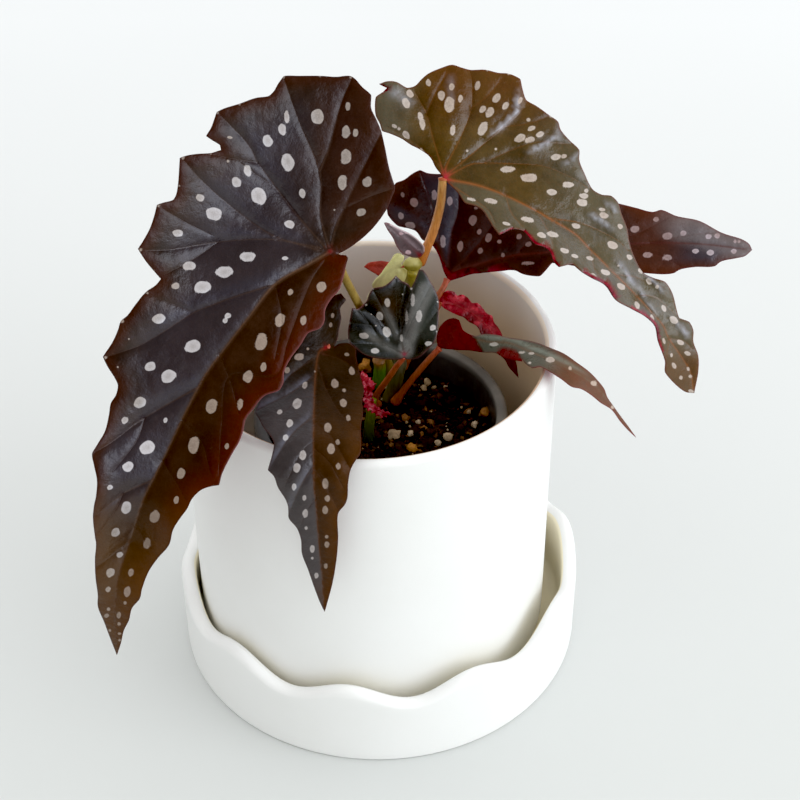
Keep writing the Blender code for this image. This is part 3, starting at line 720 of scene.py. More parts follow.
def leaf_under(name, red, dark, rough=0.42, painted_shade_col=None):
    m, nt, b = new_mat(name)
    k = Nodes(nt)
    big = k.noise(160.0, 3.0, 0.6)
    base = k.mix(k.ramp(big, 0.3, 0.7), dark, red)
    net = k.ramp(k.voronoi(420.0, "DISTANCE_TO_EDGE"), 0.0, 0.08, 1.0, 0.0)
    base = k.mix(k.math("MULTIPLY", net, 0.22), base, tuple(min(1, 1.5 * c + 0.02) for c in red))
    base = k.mix(k.math("MULTIPLY", k.attr("vein"), 0.7), base, (0.42, 0.05, 0.05))
    # painted shade: the masked part made a deeper red; painted highlight patches made brighter
    if painted_shade_col is not None:
        base = k.mix(k.attr("sheen_and_shade_paint"), base, painted_shade_col)
        base = k.mix(k.attr("light"), base, tuple(min(1, 1.5 * c + 0.05) for c in red))
    k.link(base, b.inputs["Base Color"])
    k.link(k.ramp(k.noise(300.0), 0.3, 0.7, rough - 0.06, rough + 0.08), b.inputs["Roughness"])
    h = k.math("ADD", k.math("MULTIPLY", net, 0.5), k.math("MULTIPLY", k.attr("vein"), 1.2))
    h = k.math("ADD", h, k.math("MULTIPLY", k.noise(900.0, 3.0), 0.4))
    k.link(k.bump(h, 0.4, 0.0003), b.inputs["Normal"])
    return m


def leaf_margin(name, col):
    m, nt, b = new_mat(name)
    k = Nodes(nt)
    base = k.mix(k.ramp(k.noise(500.0), 0.35, 0.65), tuple(0.6 * c for c in col), col)
    k.link(base, b.inputs["Base Color"])
    k.link(k.bump(k.noise(1400.0), 0.2, 0.0001), b.inputs["Normal"])
    b.inputs["Roughness"].default_value = 0.4
    return m


MARGIN = leaf_margin("leaf_margin", (0.075, 0.016, 0.012))
MARGIN_PINK = leaf_margin("leaf_margin_pink", (0.26, 0.09, 0.10))
MARGIN_RED = leaf_margin("leaf_margin_red", (0.26, 0.01, 0.02))
UNDER = leaf_under("leaf_underside", (0.22, 0.010, 0.018), (0.09, 0.003, 0.006))
UNDER_BRIGHT = leaf_under("leaf_underside_bright", (0.36, 0.010, 0.032), (0.13, 0.003, 0.007))
INNER_RED = leaf_under("leaf_inner_red", (0.46, 0.010, 0.030), (0.20, 0.005, 0.008), rough=0.30,
                       painted_shade_col=(0.115, 0.004, 0.003))
BACK_RED = leaf_under("leaf_back_red", (0.46, 0.045, 0.018), (0.24, 0.016, 0.006))
BUD_RED = leaf_under("leaf_bud_red", (0.50, 0.030, 0.060), (0.11, 0.0015, 0.004), rough=0.28)
DARK = leaf_top("leaf_dark", (0.031, 0.0150, 0.0078), (0.036, 0.029, 0.038),
                (0.062, 0.0092, 0.0014), (0.072, 0.036, 0.019), mid_col=(0.110, 0.056, 0.030),
                heart_col=(0.16, 0.004, 0.006), light_col=(0.105, 0.050, 0.014),
                sheen_spot_col=(0.64, 0.64, 0.70))
OLIVE = leaf_top("leaf_olive", (0.082, 0.046, 0.0090), (0.106, 0.098, 0.066),
                 (0.125, 0.040, 0.008), (0.230, 0.078, 0.018), rough=0.24, spec=0.40,
                 spot_col=(0.46, 0.385, 0.33), heart_col=(0.42, 0.020, 0.036),
                 rim_col=(0.14, 0.025, 0.012), mid_col=(0.25, 0.085, 0.024),
                 light_col=(0.50, 0.52, 0.61),
                 sheen_spot_col=(0.51, 0.45, 0.41), red=((0.09, 0.001, 0.003), (0.28, 0.006, 0.018)))
REARM = leaf_top("leaf_rear_dark", (0.046, 0.0190, 0.0140), (0.050, 0.044, 0.062),
                 (0.085, 0.026, 0.012), (0.095, 0.026, 0.020), rough=0.30,
                 spot_col=(0.34, 0.25, 0.25), rim_col=(0.12, 0.012, 0.014),
                 mid_col=(0.095, 0.026, 0.020), sheen_spot_col=(0.42, 0.36, 0.40),
                 light_col=(0.20, 0.17, 0.17))
GREEN = leaf_top("leaf_green_black", (0.010, 0.0088, 0.0038), (0.046, 0.052, 0.042),
                 (0.048, 0.022, 0.009), (0.045, 0.045, 0.036), rough=0.24,
                 rim_col=(0.15, 0.060, 0.060), heart_col=(0.26, 0.05, 0.075),
                 spot_col=(0.46, 0.44, 0.42), mid_col=(0.10, 0.085, 0.075), swell=0.2,
                 light_col=(0.185, 0.186, 0.178), sheen_spot_col=(0.60, 0.58, 0.57), spec=0.40)
FRONTM = leaf_top("leaf_front_dark", (0.026, 0.0150, 0.0078), (0.062, 0.054, 0.059),
                  (0.074, 0.0280, 0.0064), (0.060, 0.030, 0.018), mid_col=(0.115, 0.042, 0.015),
                  spot_col=(0.32, 0.27, 0.235), swell=0.45, light_col=(0.125, 0.125, 0.165),
                  sheen_spot_col=(0.44, 0.43, 0.45))
LOWERM = leaf_top("leaf_lower_green", (0.105, 0.102, 0.076), (0.096, 0.106, 0.080),
                  (0.150, 0.062, 0.034), (0.16, 0.11, 0.07), rough=0.28,
                  spot_col=(0.56, 0.49, 0.43), rim_col=(0.20, 0.06, 0.05), swell=0.2,
                  light_col=(0.24, 0.27, 0.22), sheen_spot_col=(0.46, 0.45, 0.41),
                  red=((0.115, 0.0006, 0.0006), (0.19, 0.0012, 0.0020)))
YOUNGM = leaf_top("leaf_young_grey", (0.118, 0.084, 0.092), (0.19, 0.145, 0.165),
                  (0.15, 0.05, 0.05), (0.16, 0.10, 0.11), rough=0.32,
                  spot_col=(0.60, 0.42, 0.46), rim_col=(0.24, 0.07, 0.07),
                  pink_col=(0.95, 0.74, 0.76), swell=0.2, light_col=(0.30, 0.23, 0.26))


# ------------------------------------------------------------------ leaves
def build_left():
    outline = [(338, 254), (349, 248), (371, 230), (386, 210), (392, 197), (395, 189), (392, 178),
               (389, 168), (385, 148), (381, 131), (376, 119), (371, 108), (371, 95), (362, 87),
               (354, 78), (350, 76), (336, 77), (320, 76), (299, 76), (284, 76), (278, 84),
               (274, 91), (269, 96), (256, 98), (239, 104), (223, 109), (217, 112), (215, 117),
               (211, 128), (206, 136), (212, 140), (220, 145), (221, 150), (211, 153), (197, 154),
               (185, 156), (180, 158), (179, 171), (178, 184), (176, 195), (173, 200), (162, 203),
               (157, 205), (155, 213), (150, 228), (143, 241), (138, 249), (145, 260), (154, 271),
               (161, 279), (156, 285), (146, 292), (136, 304), (127, 316), (121, 321), (118, 330),
               (112, 343), (106, 352), (103, 357), (108, 367), (115, 378), (118, 385), (116, 395),
               (111, 403), (109, 415), (105, 431), (97, 445), (92, 454), (94, 465), (97, 480),
               (96, 496), (94, 506), (93, 517), (95, 537), (96, 543), (95, 558), (95, 567),
               (96, 580), (98, 595), (98, 606), (104, 621), (110, 637), (117, 655), (121, 643),
               (124, 630), (129, 620), (132, 608), (140, 598), (142, 589), (149, 571), (158, 558),
               (169, 545), (173, 530), (181, 517), (187, 509), (192, 499), (201, 490), (212, 486),
               (219, 485), (222, 474), (232, 454), (240, 440), (243, 431), (246, 418), (253, 409),
               (264, 396), (279, 390), (283, 383), (284, 372), (290, 359), (301, 344), (308, 333),
               (320, 328), (324, 322), (325, 310), (331, 299), (339, 290), (342, 282), (344, 275),
               (346, 265), (348, 258), (346, 255.5), (341, 255.2)]
    depth = [(333, 250, -20), (262, 298, -35), (205, 380, -49), (165, 450, -59), (135, 540, -67),
             (117, 655, -72), (140, 598, -77), (173, 530, -76), (219, 485, -70), (243, 431, -60),
             (283, 385, -51), (310, 330, -39), (346, 275, -25), (93, 517, -74), (97, 445, -64),
             (103, 357, -50), (138, 249, -34), (179, 171, -20), (217, 112, -8), (278, 84, 2),
             (353, 76, 6), (371, 110, 0), (392, 178, -11), (300, 170, -8), (210, 250, -24)]
    A = lambda *p: near(80, 50, 0.21684, *p)
    B = lambda *p: near(80, 320, 0.21684, *p)
    midrib = A((1152, 930), (1050, 990), (900, 1080), (780, 1230), (680, 1360), (590, 1480)) + \
        B((540, 322), (470, 460), (380, 650), (300, 810), (250, 950), (190, 1140), (165, 1270),
          (160, 1400), (172, 1530))
    veins = [A((1145, 905), (1110, 760), (1105, 560), (1010, 330), (940, 130)),
             A((1105, 560), (1150, 450), (1200, 260), (1250, 140)),
             A((1160, 900), (1180, 820), (1215, 740), (1290, 580), (1390, 380)),
             A((1130, 910), (1000, 760), (880, 600), (820, 520), (770, 430), (640, 295)),
             A((1110, 915), (900, 860), (720, 740), (560, 600), (472, 502)),
             A((1110, 925), (900, 875), (640, 885), (420, 920), (285, 922)),
             A((900, 1080), (740, 1130), (600, 1180), (510, 1220), (300, 1350), (125, 1415)),
             B((545, 310), (300, 450), (150, 560), (66, 612)),
             B((330, 740), (200, 800), (68, 905)),
             B((240, 1020), (150, 1080), (80, 1135))]
    minor = [A((1215, 735), (1330, 680), (1445, 640)),
             A((600, 850), (480, 790), (365, 722)),
             A((500, 1200), (370, 1150), (305, 1122)),
             A((820, 520), (700, 500), (600, 480)),
             A((640, 885), (530, 960), (400, 1030)),
             A((1000, 760), (900, 640), (790, 560), (740, 520)),
             A((1130, 970), (1060, 1080), (960, 1340), (900, 1500)) + B((690, 260), (655, 480),
                                                                       (640, 720)),
             A((900, 1080), (930, 1240), (900, 1420)),
             B((640, 150), (700, 300), (730, 430)),
             B((470, 460), (560, 560), (600, 700)),
             B((380, 650), (450, 760), (480, 820)),
             B((300, 450), (260, 560), (150, 700)),
             B((200, 800), (160, 880), (90, 980)),
             B((250, 950), (300, 1010), (330, 1050))]
    spots = A((1095, 307, 32, 32), (1236, 260, 12, 18), (1227, 378, 20, 27), (1271, 382, 13, 17),
              (953, 309, 12, 27), (932, 366, 19, 25), (865, 419, 24, 26), (1227, 492, 26, 32),
              (958, 518, 31, 38), (690, 403, 12, 6), (682, 513, 6, 6), (1025, 661, 15, 20),
              (1210, 610, 22, 32), (1325, 608, 22, 22), (1297, 748, 22, 17), (772, 556, 17, 27),
              (721, 609, 21, 24), (824, 673, 34, 40), (553, 681, 18, 18), (617, 755, 34, 32),
              (966, 804, 22, 19), (450, 844, 22, 18), (773, 954, 33, 24), (945, 961, 13, 9),
              (503, 996, 28, 22), (666, 1024, 37, 28), (440, 1088, 17, 16), (565, 1094, 36, 30),
              (1113, 1093, 24, 22), (970, 1117, 12, 14), (363, 1239, 28, 24), (682, 1226, 14, 13),
              (670, 1248, 11, 12), (922, 1246, 23, 30), (1030, 1247, 15, 20), (520, 1366, 35, 30),
              (836, 1346, 27, 39), (324, 1459, 24, 22), (408, 1504, 33, 31), (846, 1462, 14, 20),
              (775, 1506, 23, 27))
    spots += B((276, 380, 27, 26), (607, 398, 26, 33), (739, 388, 13, 24), (206, 462, 15, 16),
               (394, 462, 9, 12), (310, 588, 35, 31), (525, 577, 25, 38), (678, 582, 10, 13),
               (221, 676, 25, 23), (467, 708, 19, 24), (137, 771, 13, 11), (213, 864, 23, 28),
               (445, 830, 12, 17), (346, 906, 24, 27), (163, 978, 20, 20), (311, 1030, 17, 24),
               (183, 1082, 15, 12), (140, 1164, 20, 20), (236, 1164, 13, 17), (130, 1241, 12, 12),
               (219, 1252, 16, 23), (209, 1303, 7, 8), (132, 1332, 8, 8), (123, 1362, 11, 9),
               (180, 1360, 10, 14), (181, 1400, 8, 8), (138, 1430, 6, 6), (183, 1445, 8, 6),
               (183, 1475, 6, 6))
    dots = [(p[0], p[1], p[2]) for p in A(
        (938, 125, 7), (1107, 121, 5), (1248, 126, 6), (735, 251, 5), (633, 289, 6), (475, 498, 7),
        (602, 479, 4), (362, 717, 6), (458, 626, 4), (279, 921, 7), (341, 1017, 4), (311, 1121, 5),
        (196, 1251, 7), (118, 1418, 7), (225, 1332, 4), (174, 1462, 4), (1173, 737, 4))]

    # painted sheen on the left half, strongest beside the side veins and in a band lower down
    def sheen_and_shade_paint(f):
        q = f["q"]
        low = 0.75 * smooth01((q[:, 1] - 400) / 40) * smooth01((540 - q[:, 1]) / 50) * \
            smooth01((f["d_edge"] - 4) / 12) * (f["side"] > 0)
        return np.maximum(low, smooth01((f["d_edge"] - 8) / 34) * (f["side"] > 0) * (0.65 + 0.35 * sheen(f, 7.0, 7.0)) * \
            (1 - 0.85 * smooth01((q[:, 0] - 272) / 60) * smooth01((262 - q[:, 1]) / 30)))

    # red-brown, partly own colour and partly painted glow of light through the leaf: the right half, the
    # left margin, the top, the lower end
    def redbrown_glow(f):
        q = f["q"]
        right = (f["side"] < 0) & (q[:, 1] > 255)
        low = smooth01((q[:, 1] - 560) / 60) * 0.7
        left_edge = 0.45 * smooth01(1 - f["d_edge"] / 18)
        top = 0.30 * smooth01((q[:, 0] - 300) / 50) * smooth01((240 - q[:, 1]) / 40)
        return right * (0.12 + 0.88 * smooth01(1 - f["d_edge"] / 34)) + \
            (~right) * np.maximum(np.maximum(low, top), left_edge)

    # the midrib runs to the tip, so a point left of it has side > 0
    leaf("leaf_left_blade", outline, depth, (331, 251), midrib, veins, minor, spots, dots,
         pitch=4.4, pleat=1.5, pleat_w=9.0, minor_h=0.5, mats=(DARK, UNDER, MARGIN),
         sheen_and_shade_paint=sheen_and_shade_paint, redbrown_glow=redbrown_glow, seed=3, vein_w=0.9, heart_r=0.72, groove=0.50,
         matte=lambda f: np.where((f["side"] < 0) & (f["q"][:, 1] > 255), 0.95,
                                  np.maximum(0.62 * smooth01(1 - f["d_edge"] / 30)
                                             * (1 - 0.8 * smooth01((f["q"][:, 1] - 400) / 40)),
                                             0.25 * (1 - sheen(f, 7.0, 8.0)))),
         light=lambda f: 0.75 * smooth01((f["q"][:, 1] - 470) / 90),
         pink=lambda f: 0.45 * (f["side"] < 0) * smooth01((f["q"][:, 1] - 262) / 12)
         * smooth01((500 - f["q"][:, 1]) / 60))


def build_right():
    outline = [(440, 173), (436, 168), (430, 157), (421, 150), (411, 145), (402, 139), (391, 134),
               (382, 131), (380, 124), (376, 116), (375, 104), (376, 97), (383, 92), (387, 88),
               (379, 84), (387, 81.5), (396, 82), (407, 88), (415, 86), (422, 79), (428, 74),
               (439, 69), (452, 65), (462, 68), (470, 70), (485, 70), (498, 73), (509, 74),
               (520, 79), (522, 88), (526, 100), (536, 106), (550, 116), (558, 122), (560, 129),
               (568, 139), (579, 150), (579, 160), (584, 173), (593, 190), (602, 195), (611, 196),
               (618, 203), (621, 213), (627, 229), (629, 241), (634, 257), (643, 273), (653, 278),
               (665, 282), (672, 293), (676, 308), (679, 318), (689, 322), (693, 330), (693, 341),
               (698, 356), (698, 372), (694, 393), (686, 392), (675, 384), (665, 372), (665, 361),
               (662, 352), (658, 341), (655, 326), (646, 317), (630, 308), (616, 300), (605, 285),
               (592, 278), (582, 272), (572, 264), (559, 267), (554, 262), (550, 252), (544, 247),
               (535, 244), (528, 236), (523, 231), (513, 229), (499, 235), (493, 227), (488, 219),
               (482, 210), (475, 206), (465, 203), (458, 193), (449, 184), (445, 180)]
    depth = [(443, 178, 10), (505, 196, 8), (549, 219, 5), (590, 249, 1), (635, 295, -4),
             (661, 323, -6), (689, 369, -8), (694, 393, -9), (475, 206, 2), (499, 235, -9),
             (544, 247, -8), (559, 267, -14), (582, 272, -12), (605, 285, -13), (630, 308, -14),
             (655, 330, -13), (665, 372, -13), (436, 168, 12), (411, 145, 18), (380, 124, 22),
             (375, 97, 27), (387, 82, 30), (428, 74, 35), (470, 70, 38), (520, 79, 37),
             (558, 122, 30), (579, 160, 24), (611, 196, 18), (634, 257, 6), (665, 282, 2),
             (679, 318, -2), (693, 341, -5), (698, 372, -8)]
    A = lambda *p: near(360, 40, 0.25510, *p)
    midrib = A((330, 542), (345, 548), (460, 570), (570, 610), (690, 670), (740, 700), (840, 760),
               (900, 820), (1000, 920), (1080, 1000), (1180, 1110), (1210, 1170), (1290, 1290),
               (1305, 1365))
    veins = [A((340, 535), (360, 525), (430, 490), (480, 483), (600, 485), (720, 495), (830, 540),
               (900, 585)),
             A((335, 528), (350, 520), (460, 430), (560, 340), (640, 270)),
             A((335, 520), (340, 490), (400, 370), (435, 270), (440, 170), (430, 125)),
             A((325, 520), (320, 500), (290, 400), (260, 290), (215, 205)),
             A((740, 700), (870, 720), (1000, 780), (1050, 825)),
             A((345, 560), (420, 610), (500, 665), (530, 720))]
    minor = [A((320, 500), (260, 440), (180, 380), (110, 345)),
             A((480, 483), (600, 430), (700, 400), (830, 410)),
             A((560, 340), (650, 330), (740, 300)),
             A((1000, 920), (1080, 930), (1190, 970)),
             A((1080, 1000), (1160, 1010), (1230, 1070)),
             A((690, 670), (740, 760), (770, 860)),
             A((900, 820), (920, 900), (960, 950)),
             A((1080, 1000), (1090, 1060), (1130, 1120)),
             A((1210, 1170), (1200, 1240), (1190, 1290)),
             A((570, 610), (600, 690), (690, 780)),
             A((435, 270), (500, 220), (560, 150)),
             A((260, 290), (300, 200), (340, 130)),
             A((1210, 1170), (1270, 1180), (1300, 1210))]
    spots = A((195, 211, 16, 13), (268, 168, 12, 11), (180, 248, 17, 17), (359, 184, 13, 11),
              (461, 179, 12, 15), (319, 218, 17, 15), (350, 254, 24, 25), (393, 230, 11, 12),
              (535, 228, 17, 16), (481, 272, 14, 12), (509, 284, 17, 18), (570, 258, 13, 14),
              (627, 237, 8, 13), (236, 300, 12, 14), (243, 328, 13, 20), (135, 338, 10, 7),
              (153, 348, 6, 6), (181, 372, 14, 15), (241, 435, 8, 10), (363, 354, 12, 17),
              (481, 348, 19, 25), (660, 313, 8, 7), (672, 347, 13, 11), (627, 385, 18, 18),
              (665, 391, 17, 13), (705, 370, 13, 13), (767, 459, 16, 15), (799, 456, 9, 10),
              (578, 508, 23, 14), (662, 541, 26, 20), (815, 568, 18, 14), (751, 597, 16, 15),
              (877, 612, 14, 13), (870, 638, 17, 17), (886, 592, 8, 8), (437, 626, 16, 6),
              (513, 632, 22, 11), (656, 705, 22, 11), (573, 721, 14, 7), (711, 766, 15, 12),
              (754, 763, 20, 12), (846, 730, 14, 12), (948, 665, 10, 8), (955, 688, 14, 15),
              (1019, 731, 8, 12), (989, 805, 17, 18), (801, 827, 15, 11), (841, 848, 12, 8),
              (900, 857, 12, 9), (1055, 852, 9, 12), (961, 912, 16, 12), (910, 922, 12, 8),
              (1022, 967, 14, 14), (1132, 947, 10, 14), (1164, 968, 7, 7), (1099, 905, 8, 12),
              (1085, 1040, 9, 15), (1190, 1052, 8, 14), (1229, 1098, 14, 16), (1144, 1090, 6, 14),
              (1255, 1185, 12, 11), (1283, 1228, 11, 9), (1190, 1180, 5, 12), (1220, 1235, 5, 8),
              (1230, 1276, 8, 12), (1286, 1289, 6, 8), (1257, 1323, 7, 8), (1294, 1318, 8, 6),
              (1297, 1377, 10, 8))
    dots = [(p[0], p[1], p[2]) for p in A((419, 435, 5), (532, 428, 5), (1012, 885, 4),
                                          (748, 300, 5), (582, 133, 5), (500, 120, 4))]

    # painted sheen below the midrib, toward the tip, over the upper right and on the left lobe
    def sheen_and_shade_paint(f):
        q = f["q"]
        below = (f["side"] > 0)
        tail = 0.72 * smooth01((q[:, 0] - 502) / 90) * smooth01((372 - q[:, 1]) / 24)
        lobe = smooth01((430 - q[:, 0]) / 45) * 0.8
        up = 0.15 * smooth01((q[:, 0] - 440) / 40)
        return np.maximum(np.maximum(below * 0.66, np.maximum(tail, up) * (~below)), lobe)

    # red-brown, partly own colour and partly painted glow of light through the leaf: at the top and the
    # tip
    def redbrown_glow(f):
        q = f["q"]
        top = smooth01((150 - q[:, 1]) / 70) * smooth01((q[:, 0] - 405) / 40) * 0.55
        tip = smooth01((q[:, 1] - 330) / 40) * 0.5
        return np.maximum(top, tip)

    # folds carrying painted highlight streaks, also raised as ridges: (line, strength, half width)
    highlight_folds = (([(487, 137), (502, 127), (517, 112), (517, 88)], 0.85, 2.1),
              ([(525, 153.5), (543, 145), (558, 135), (555, 127)], 0.80, 1.9),
              ([(560, 165.5), (570, 160), (579, 152)], 0.7, 1.6),
              ([(588, 213), (600, 220), (613, 230)], 0.75, 2.1),
              ([(604, 200), (611, 206), (618, 214)], 0.55, 1.7),
              ([(612, 256), (621, 267), (642, 294), (659, 318)], 0.7, 1.6),
              ([(642, 272), (654, 282), (665, 294)], 0.6, 1.5),
              ([(669, 315), (680, 327), (690, 340)], 0.6, 1.8),
              ([(386, 90), (400, 95), (412, 108)], 0.40, 5.0),
              ([(452, 72), (450, 90), (452, 108)], 0.25, 3.0))

    def light(f):
        q = f["q"]
        patchy = 0.75 + 0.5 * wobble(q, 6.0, 61)
        out = np.zeros(len(q))
        for ln, k, wd in highlight_folds:
            d, t, _ = seg_distance(q, ln)
            out = np.maximum(out, k * np.exp(-(d / wd) ** 2) * np.clip(4 * t, 0, 1)
                             * np.clip(4 * (1 - t), 0, 1))
        return out * patchy

    leaf("leaf_right_upper_blade", outline, depth, (444, 178), midrib, veins, minor, spots, dots,
         pitch=4.0, pleat=1.9, pleat_w=8.0, minor_h=0.7, mats=(OLIVE, UNDER_BRIGHT, MARGIN),
         sheen_and_shade_paint=sheen_and_shade_paint, redbrown_glow=redbrown_glow, seed=5, vein_w=0.72, waves=0.5, curl=1.1,
         heart_r=1.2,
         groove=0.34, stretch=1.25, light=light,
         matte=lambda f: 0.5 * smooth01((wobble(f["q"], 30.0, 77) + 0.1) / 0.5),
         ridges=tuple((ln, 1.5 * k, 1.35 * wd) for ln, k, wd in highlight_folds[:8]),
         folds=(([(500, 232.4), (513, 226.8), (514, 233), (499, 239)], 0.5),
                ([(525, 229.2), (530, 234.2), (537, 241.8), (546, 244.8), (552.6, 250.5),
                  (556.4, 260.5), (560, 264.6), (559, 271), (551, 265), (547, 256), (541, 251),
                  (533, 248), (526, 240), (520, 233)], 0.6),
                ([(584, 269.8), (594, 275.8), (607.5, 282.8), (618, 297.6), (613, 303),
                  (602, 289), (590, 282), (580, 275)], 0.6),
                ([(631, 305.8), (647.5, 314.8), (657.4, 325), (660.4, 340), (664, 351.5),
                  (658, 354), (654, 342), (651, 328), (643, 320), (628, 311)], 0.6),
                ([(377, 82), (383, 84.2), (389.5, 87.6), (388, 91), (383, 93), (384.5, 89),
                  (379, 86)], 0.3)))


def build_rear():
    outline = [(444, 272), (441, 262), (437, 252), (430, 243), (423, 240), (416, 231), (408, 228),
               (398, 226), (388, 215), (387, 205), (390, 193), (396, 183), (404, 180), (412, 174),
               (420, 170), (427, 173), (435, 174), (450, 174), (480, 178), (520, 185), (560, 192),
               (600, 200), (620, 204), (636, 208), (653, 212), (661, 210), (676, 216), (699, 221),
               (722, 233), (743, 240), (749, 244), (752, 250), (745, 256), (737, 258), (720, 262),
               (715, 266), (694, 267), (679, 270), (674, 273), (643, 273), (600, 270), (575, 266),
               (552, 263), (546, 270), (540, 276), (534, 276), (523, 274), (514, 270), (502, 271),
               (491, 272), (481, 273), (472, 274), (459, 278), (449, 281)]
    depth = [(447, 281, 25), (388, 200, 38), (421, 171, 42), (500, 180, 43), (600, 200, 43),
             (661, 211, 42), (722, 233, 38), (751, 248, 35), (715, 266, 30), (643, 273, 29),
             (552, 263, 28), (514, 270, 27), (472, 274, 26), (470, 225, 36), (560, 232, 36),
             (650, 243, 36), (430, 240, 32)]
    C = lambda *p: near(370, 150, 0.12755, *p)
    A = lambda *p: near(360, 40, 0.25510, *p)
    midrib = C((615, 1000), (640, 960), (860, 890), (1100, 830), (1400, 800)) + \
        [(600, 246), (650, 243), (700, 244), (744, 249)]
    veins = [C((605, 980), (620, 800), (640, 640), (690, 480), (700, 300)),
             C((600, 950), (560, 780), (500, 480), (400, 180)),
             C((640, 950), (760, 840), (900, 680), (1050, 460)),
             C((590, 960), (480, 820), (300, 640), (160, 520))]
    minor = [[(560, 243), (590, 232), (620, 214)], [(600, 246), (640, 232), (668, 218)],
             [(650, 243), (690, 235), (715, 233)], [(560, 250), (590, 258), (620, 268)],
             [(620, 246), (660, 256), (680, 266)], [(520, 250), (540, 230), (570, 205)]]
    spots = C((256, 350, 15, 18), (345, 410, 33, 33), (505, 352, 22, 36), (625, 400, 24, 32),
              (243, 515, 22, 26), (316, 590, 40, 26), (806, 550, 33, 38), (572, 717, 22, 45),
              (708, 755, 24, 38), (930, 688, 25, 35), (830, 455, 15, 10), (1242, 738, 22, 20),
              (1237, 888, 45, 13))
    spots += A((1077, 741, 16, 14), (1160, 703, 10, 10), (1205, 768, 18, 15), (1267, 757, 11, 11),
               (1366, 771, 11, 10), (1400, 768, 10, 11), (1127, 843, 17, 12), (1204, 853, 17, 12),
               (1315, 828, 12, 10), (1373, 834, 13, 12), (1465, 829, 10, 10), (1470, 790, 6, 6),
               (1485, 790, 6, 6))
    rnd = random.Random(8)
    for _ in range(26):                    # under the leaf in front, plainly like the rest
        u = rnd.uniform(470, 615)
        v = 0.5 * (185 + 270) + rnd.uniform(-38, 30)
        if all(math.hypot(u - s[0], v - s[1]) > 9 for s in spots):
            r = rnd.uniform(1.6, 3.4)
            spots.append((u, v, r, r * rnd.uniform(0.9, 1.25)))

    def wedges(q):
        dr, _, sr = seg_distance(q, veins[0])
        dl, _, sl = seg_distance(q, veins[1])
        db, _, sb = seg_distance(q, [(386, 201), (410, 213), (430, 228), (446, 268)])
        blue = smooth01(0.5 + dl * sl / 7) * smooth01(0.5 - dr * sr / 5)
        below = smooth01(0.5 + db * sb / 5) * smooth01((436 - q[:, 0]) / 8)
        return blue, below

    # painted sheen in the wedges by the petiole, under the lower vein and toward the far end
    def sheen_and_shade_paint(f):
        q = f["q"]
        blue, below = wedges(q)
        tail = smooth01((q[:, 0] - 640) / 70) * 0.9 * smooth01(f["d_edge"] / 10)
        return np.maximum(np.maximum(blue * 0.95, below * 0.85), tail)

    # less gloss, and spots painted darker as shade, away from the sheen wedges
    def dull_and_shaded(f):
        q = f["q"]
        blue, below = wedges(q)
        return smooth01((636 - q[:, 0]) / 40) * (1 - np.maximum(blue, 0.8 * below)) * \
            (0.55 + 0.33 * smooth01((q[:, 0] - 436) / 14))

    # red-brown, partly own colour and partly painted glow of light through the leaf: toward the far end
    # and along the margin
    def redbrown_glow(f):
        q = f["q"]
        return 0.7 * smooth01((q[:, 0] - 610) / 30) * smooth01((700 - q[:, 0]) / 40) + \
            0.5 * smooth01(1 - f["d_edge"] / 12)

    leaf("leaf_rear_blade", outline, depth, (447, 281), midrib, veins, minor, spots, (),
         pitch=4.4, pleat=1.7, pleat_w=8.0, mats=(REARM, UNDER, MARGIN),
         sheen_and_shade_paint=sheen_and_shade_paint, redbrown_glow=redbrown_glow, seed=7, curl=0.9, curl_w=5.0, waves=0.5,
         matte=dull_and_shaded,
         light=lambda f: 0.7 * smooth01((f["q"][:, 0] - 645) / 40)
         * smooth01((f["q"][:, 0] * 0.30 + 40 - f["q"][:, 1]) / 16 + 0.35),
         folds=(([(442, 268), (441, 274), (446, 284), (452, 284), (462, 280), (475, 276.5),
                  (480, 275), (478, 271), (472, 268.5), (465, 268.5), (458, 271), (452, 273),
                  (448, 269), (444, 262)], 0.7),
                ([(484, 276), (487, 271), (492, 267), (499, 265.5), (505, 267), (512, 269),
                  (518, 272.5), (514, 274), (502, 274), (492, 275)], 0.6),
                ([(431, 241), (436, 246), (440, 254), (445, 266), (440, 270), (434, 258),
                  (428, 246)], 0.5)))


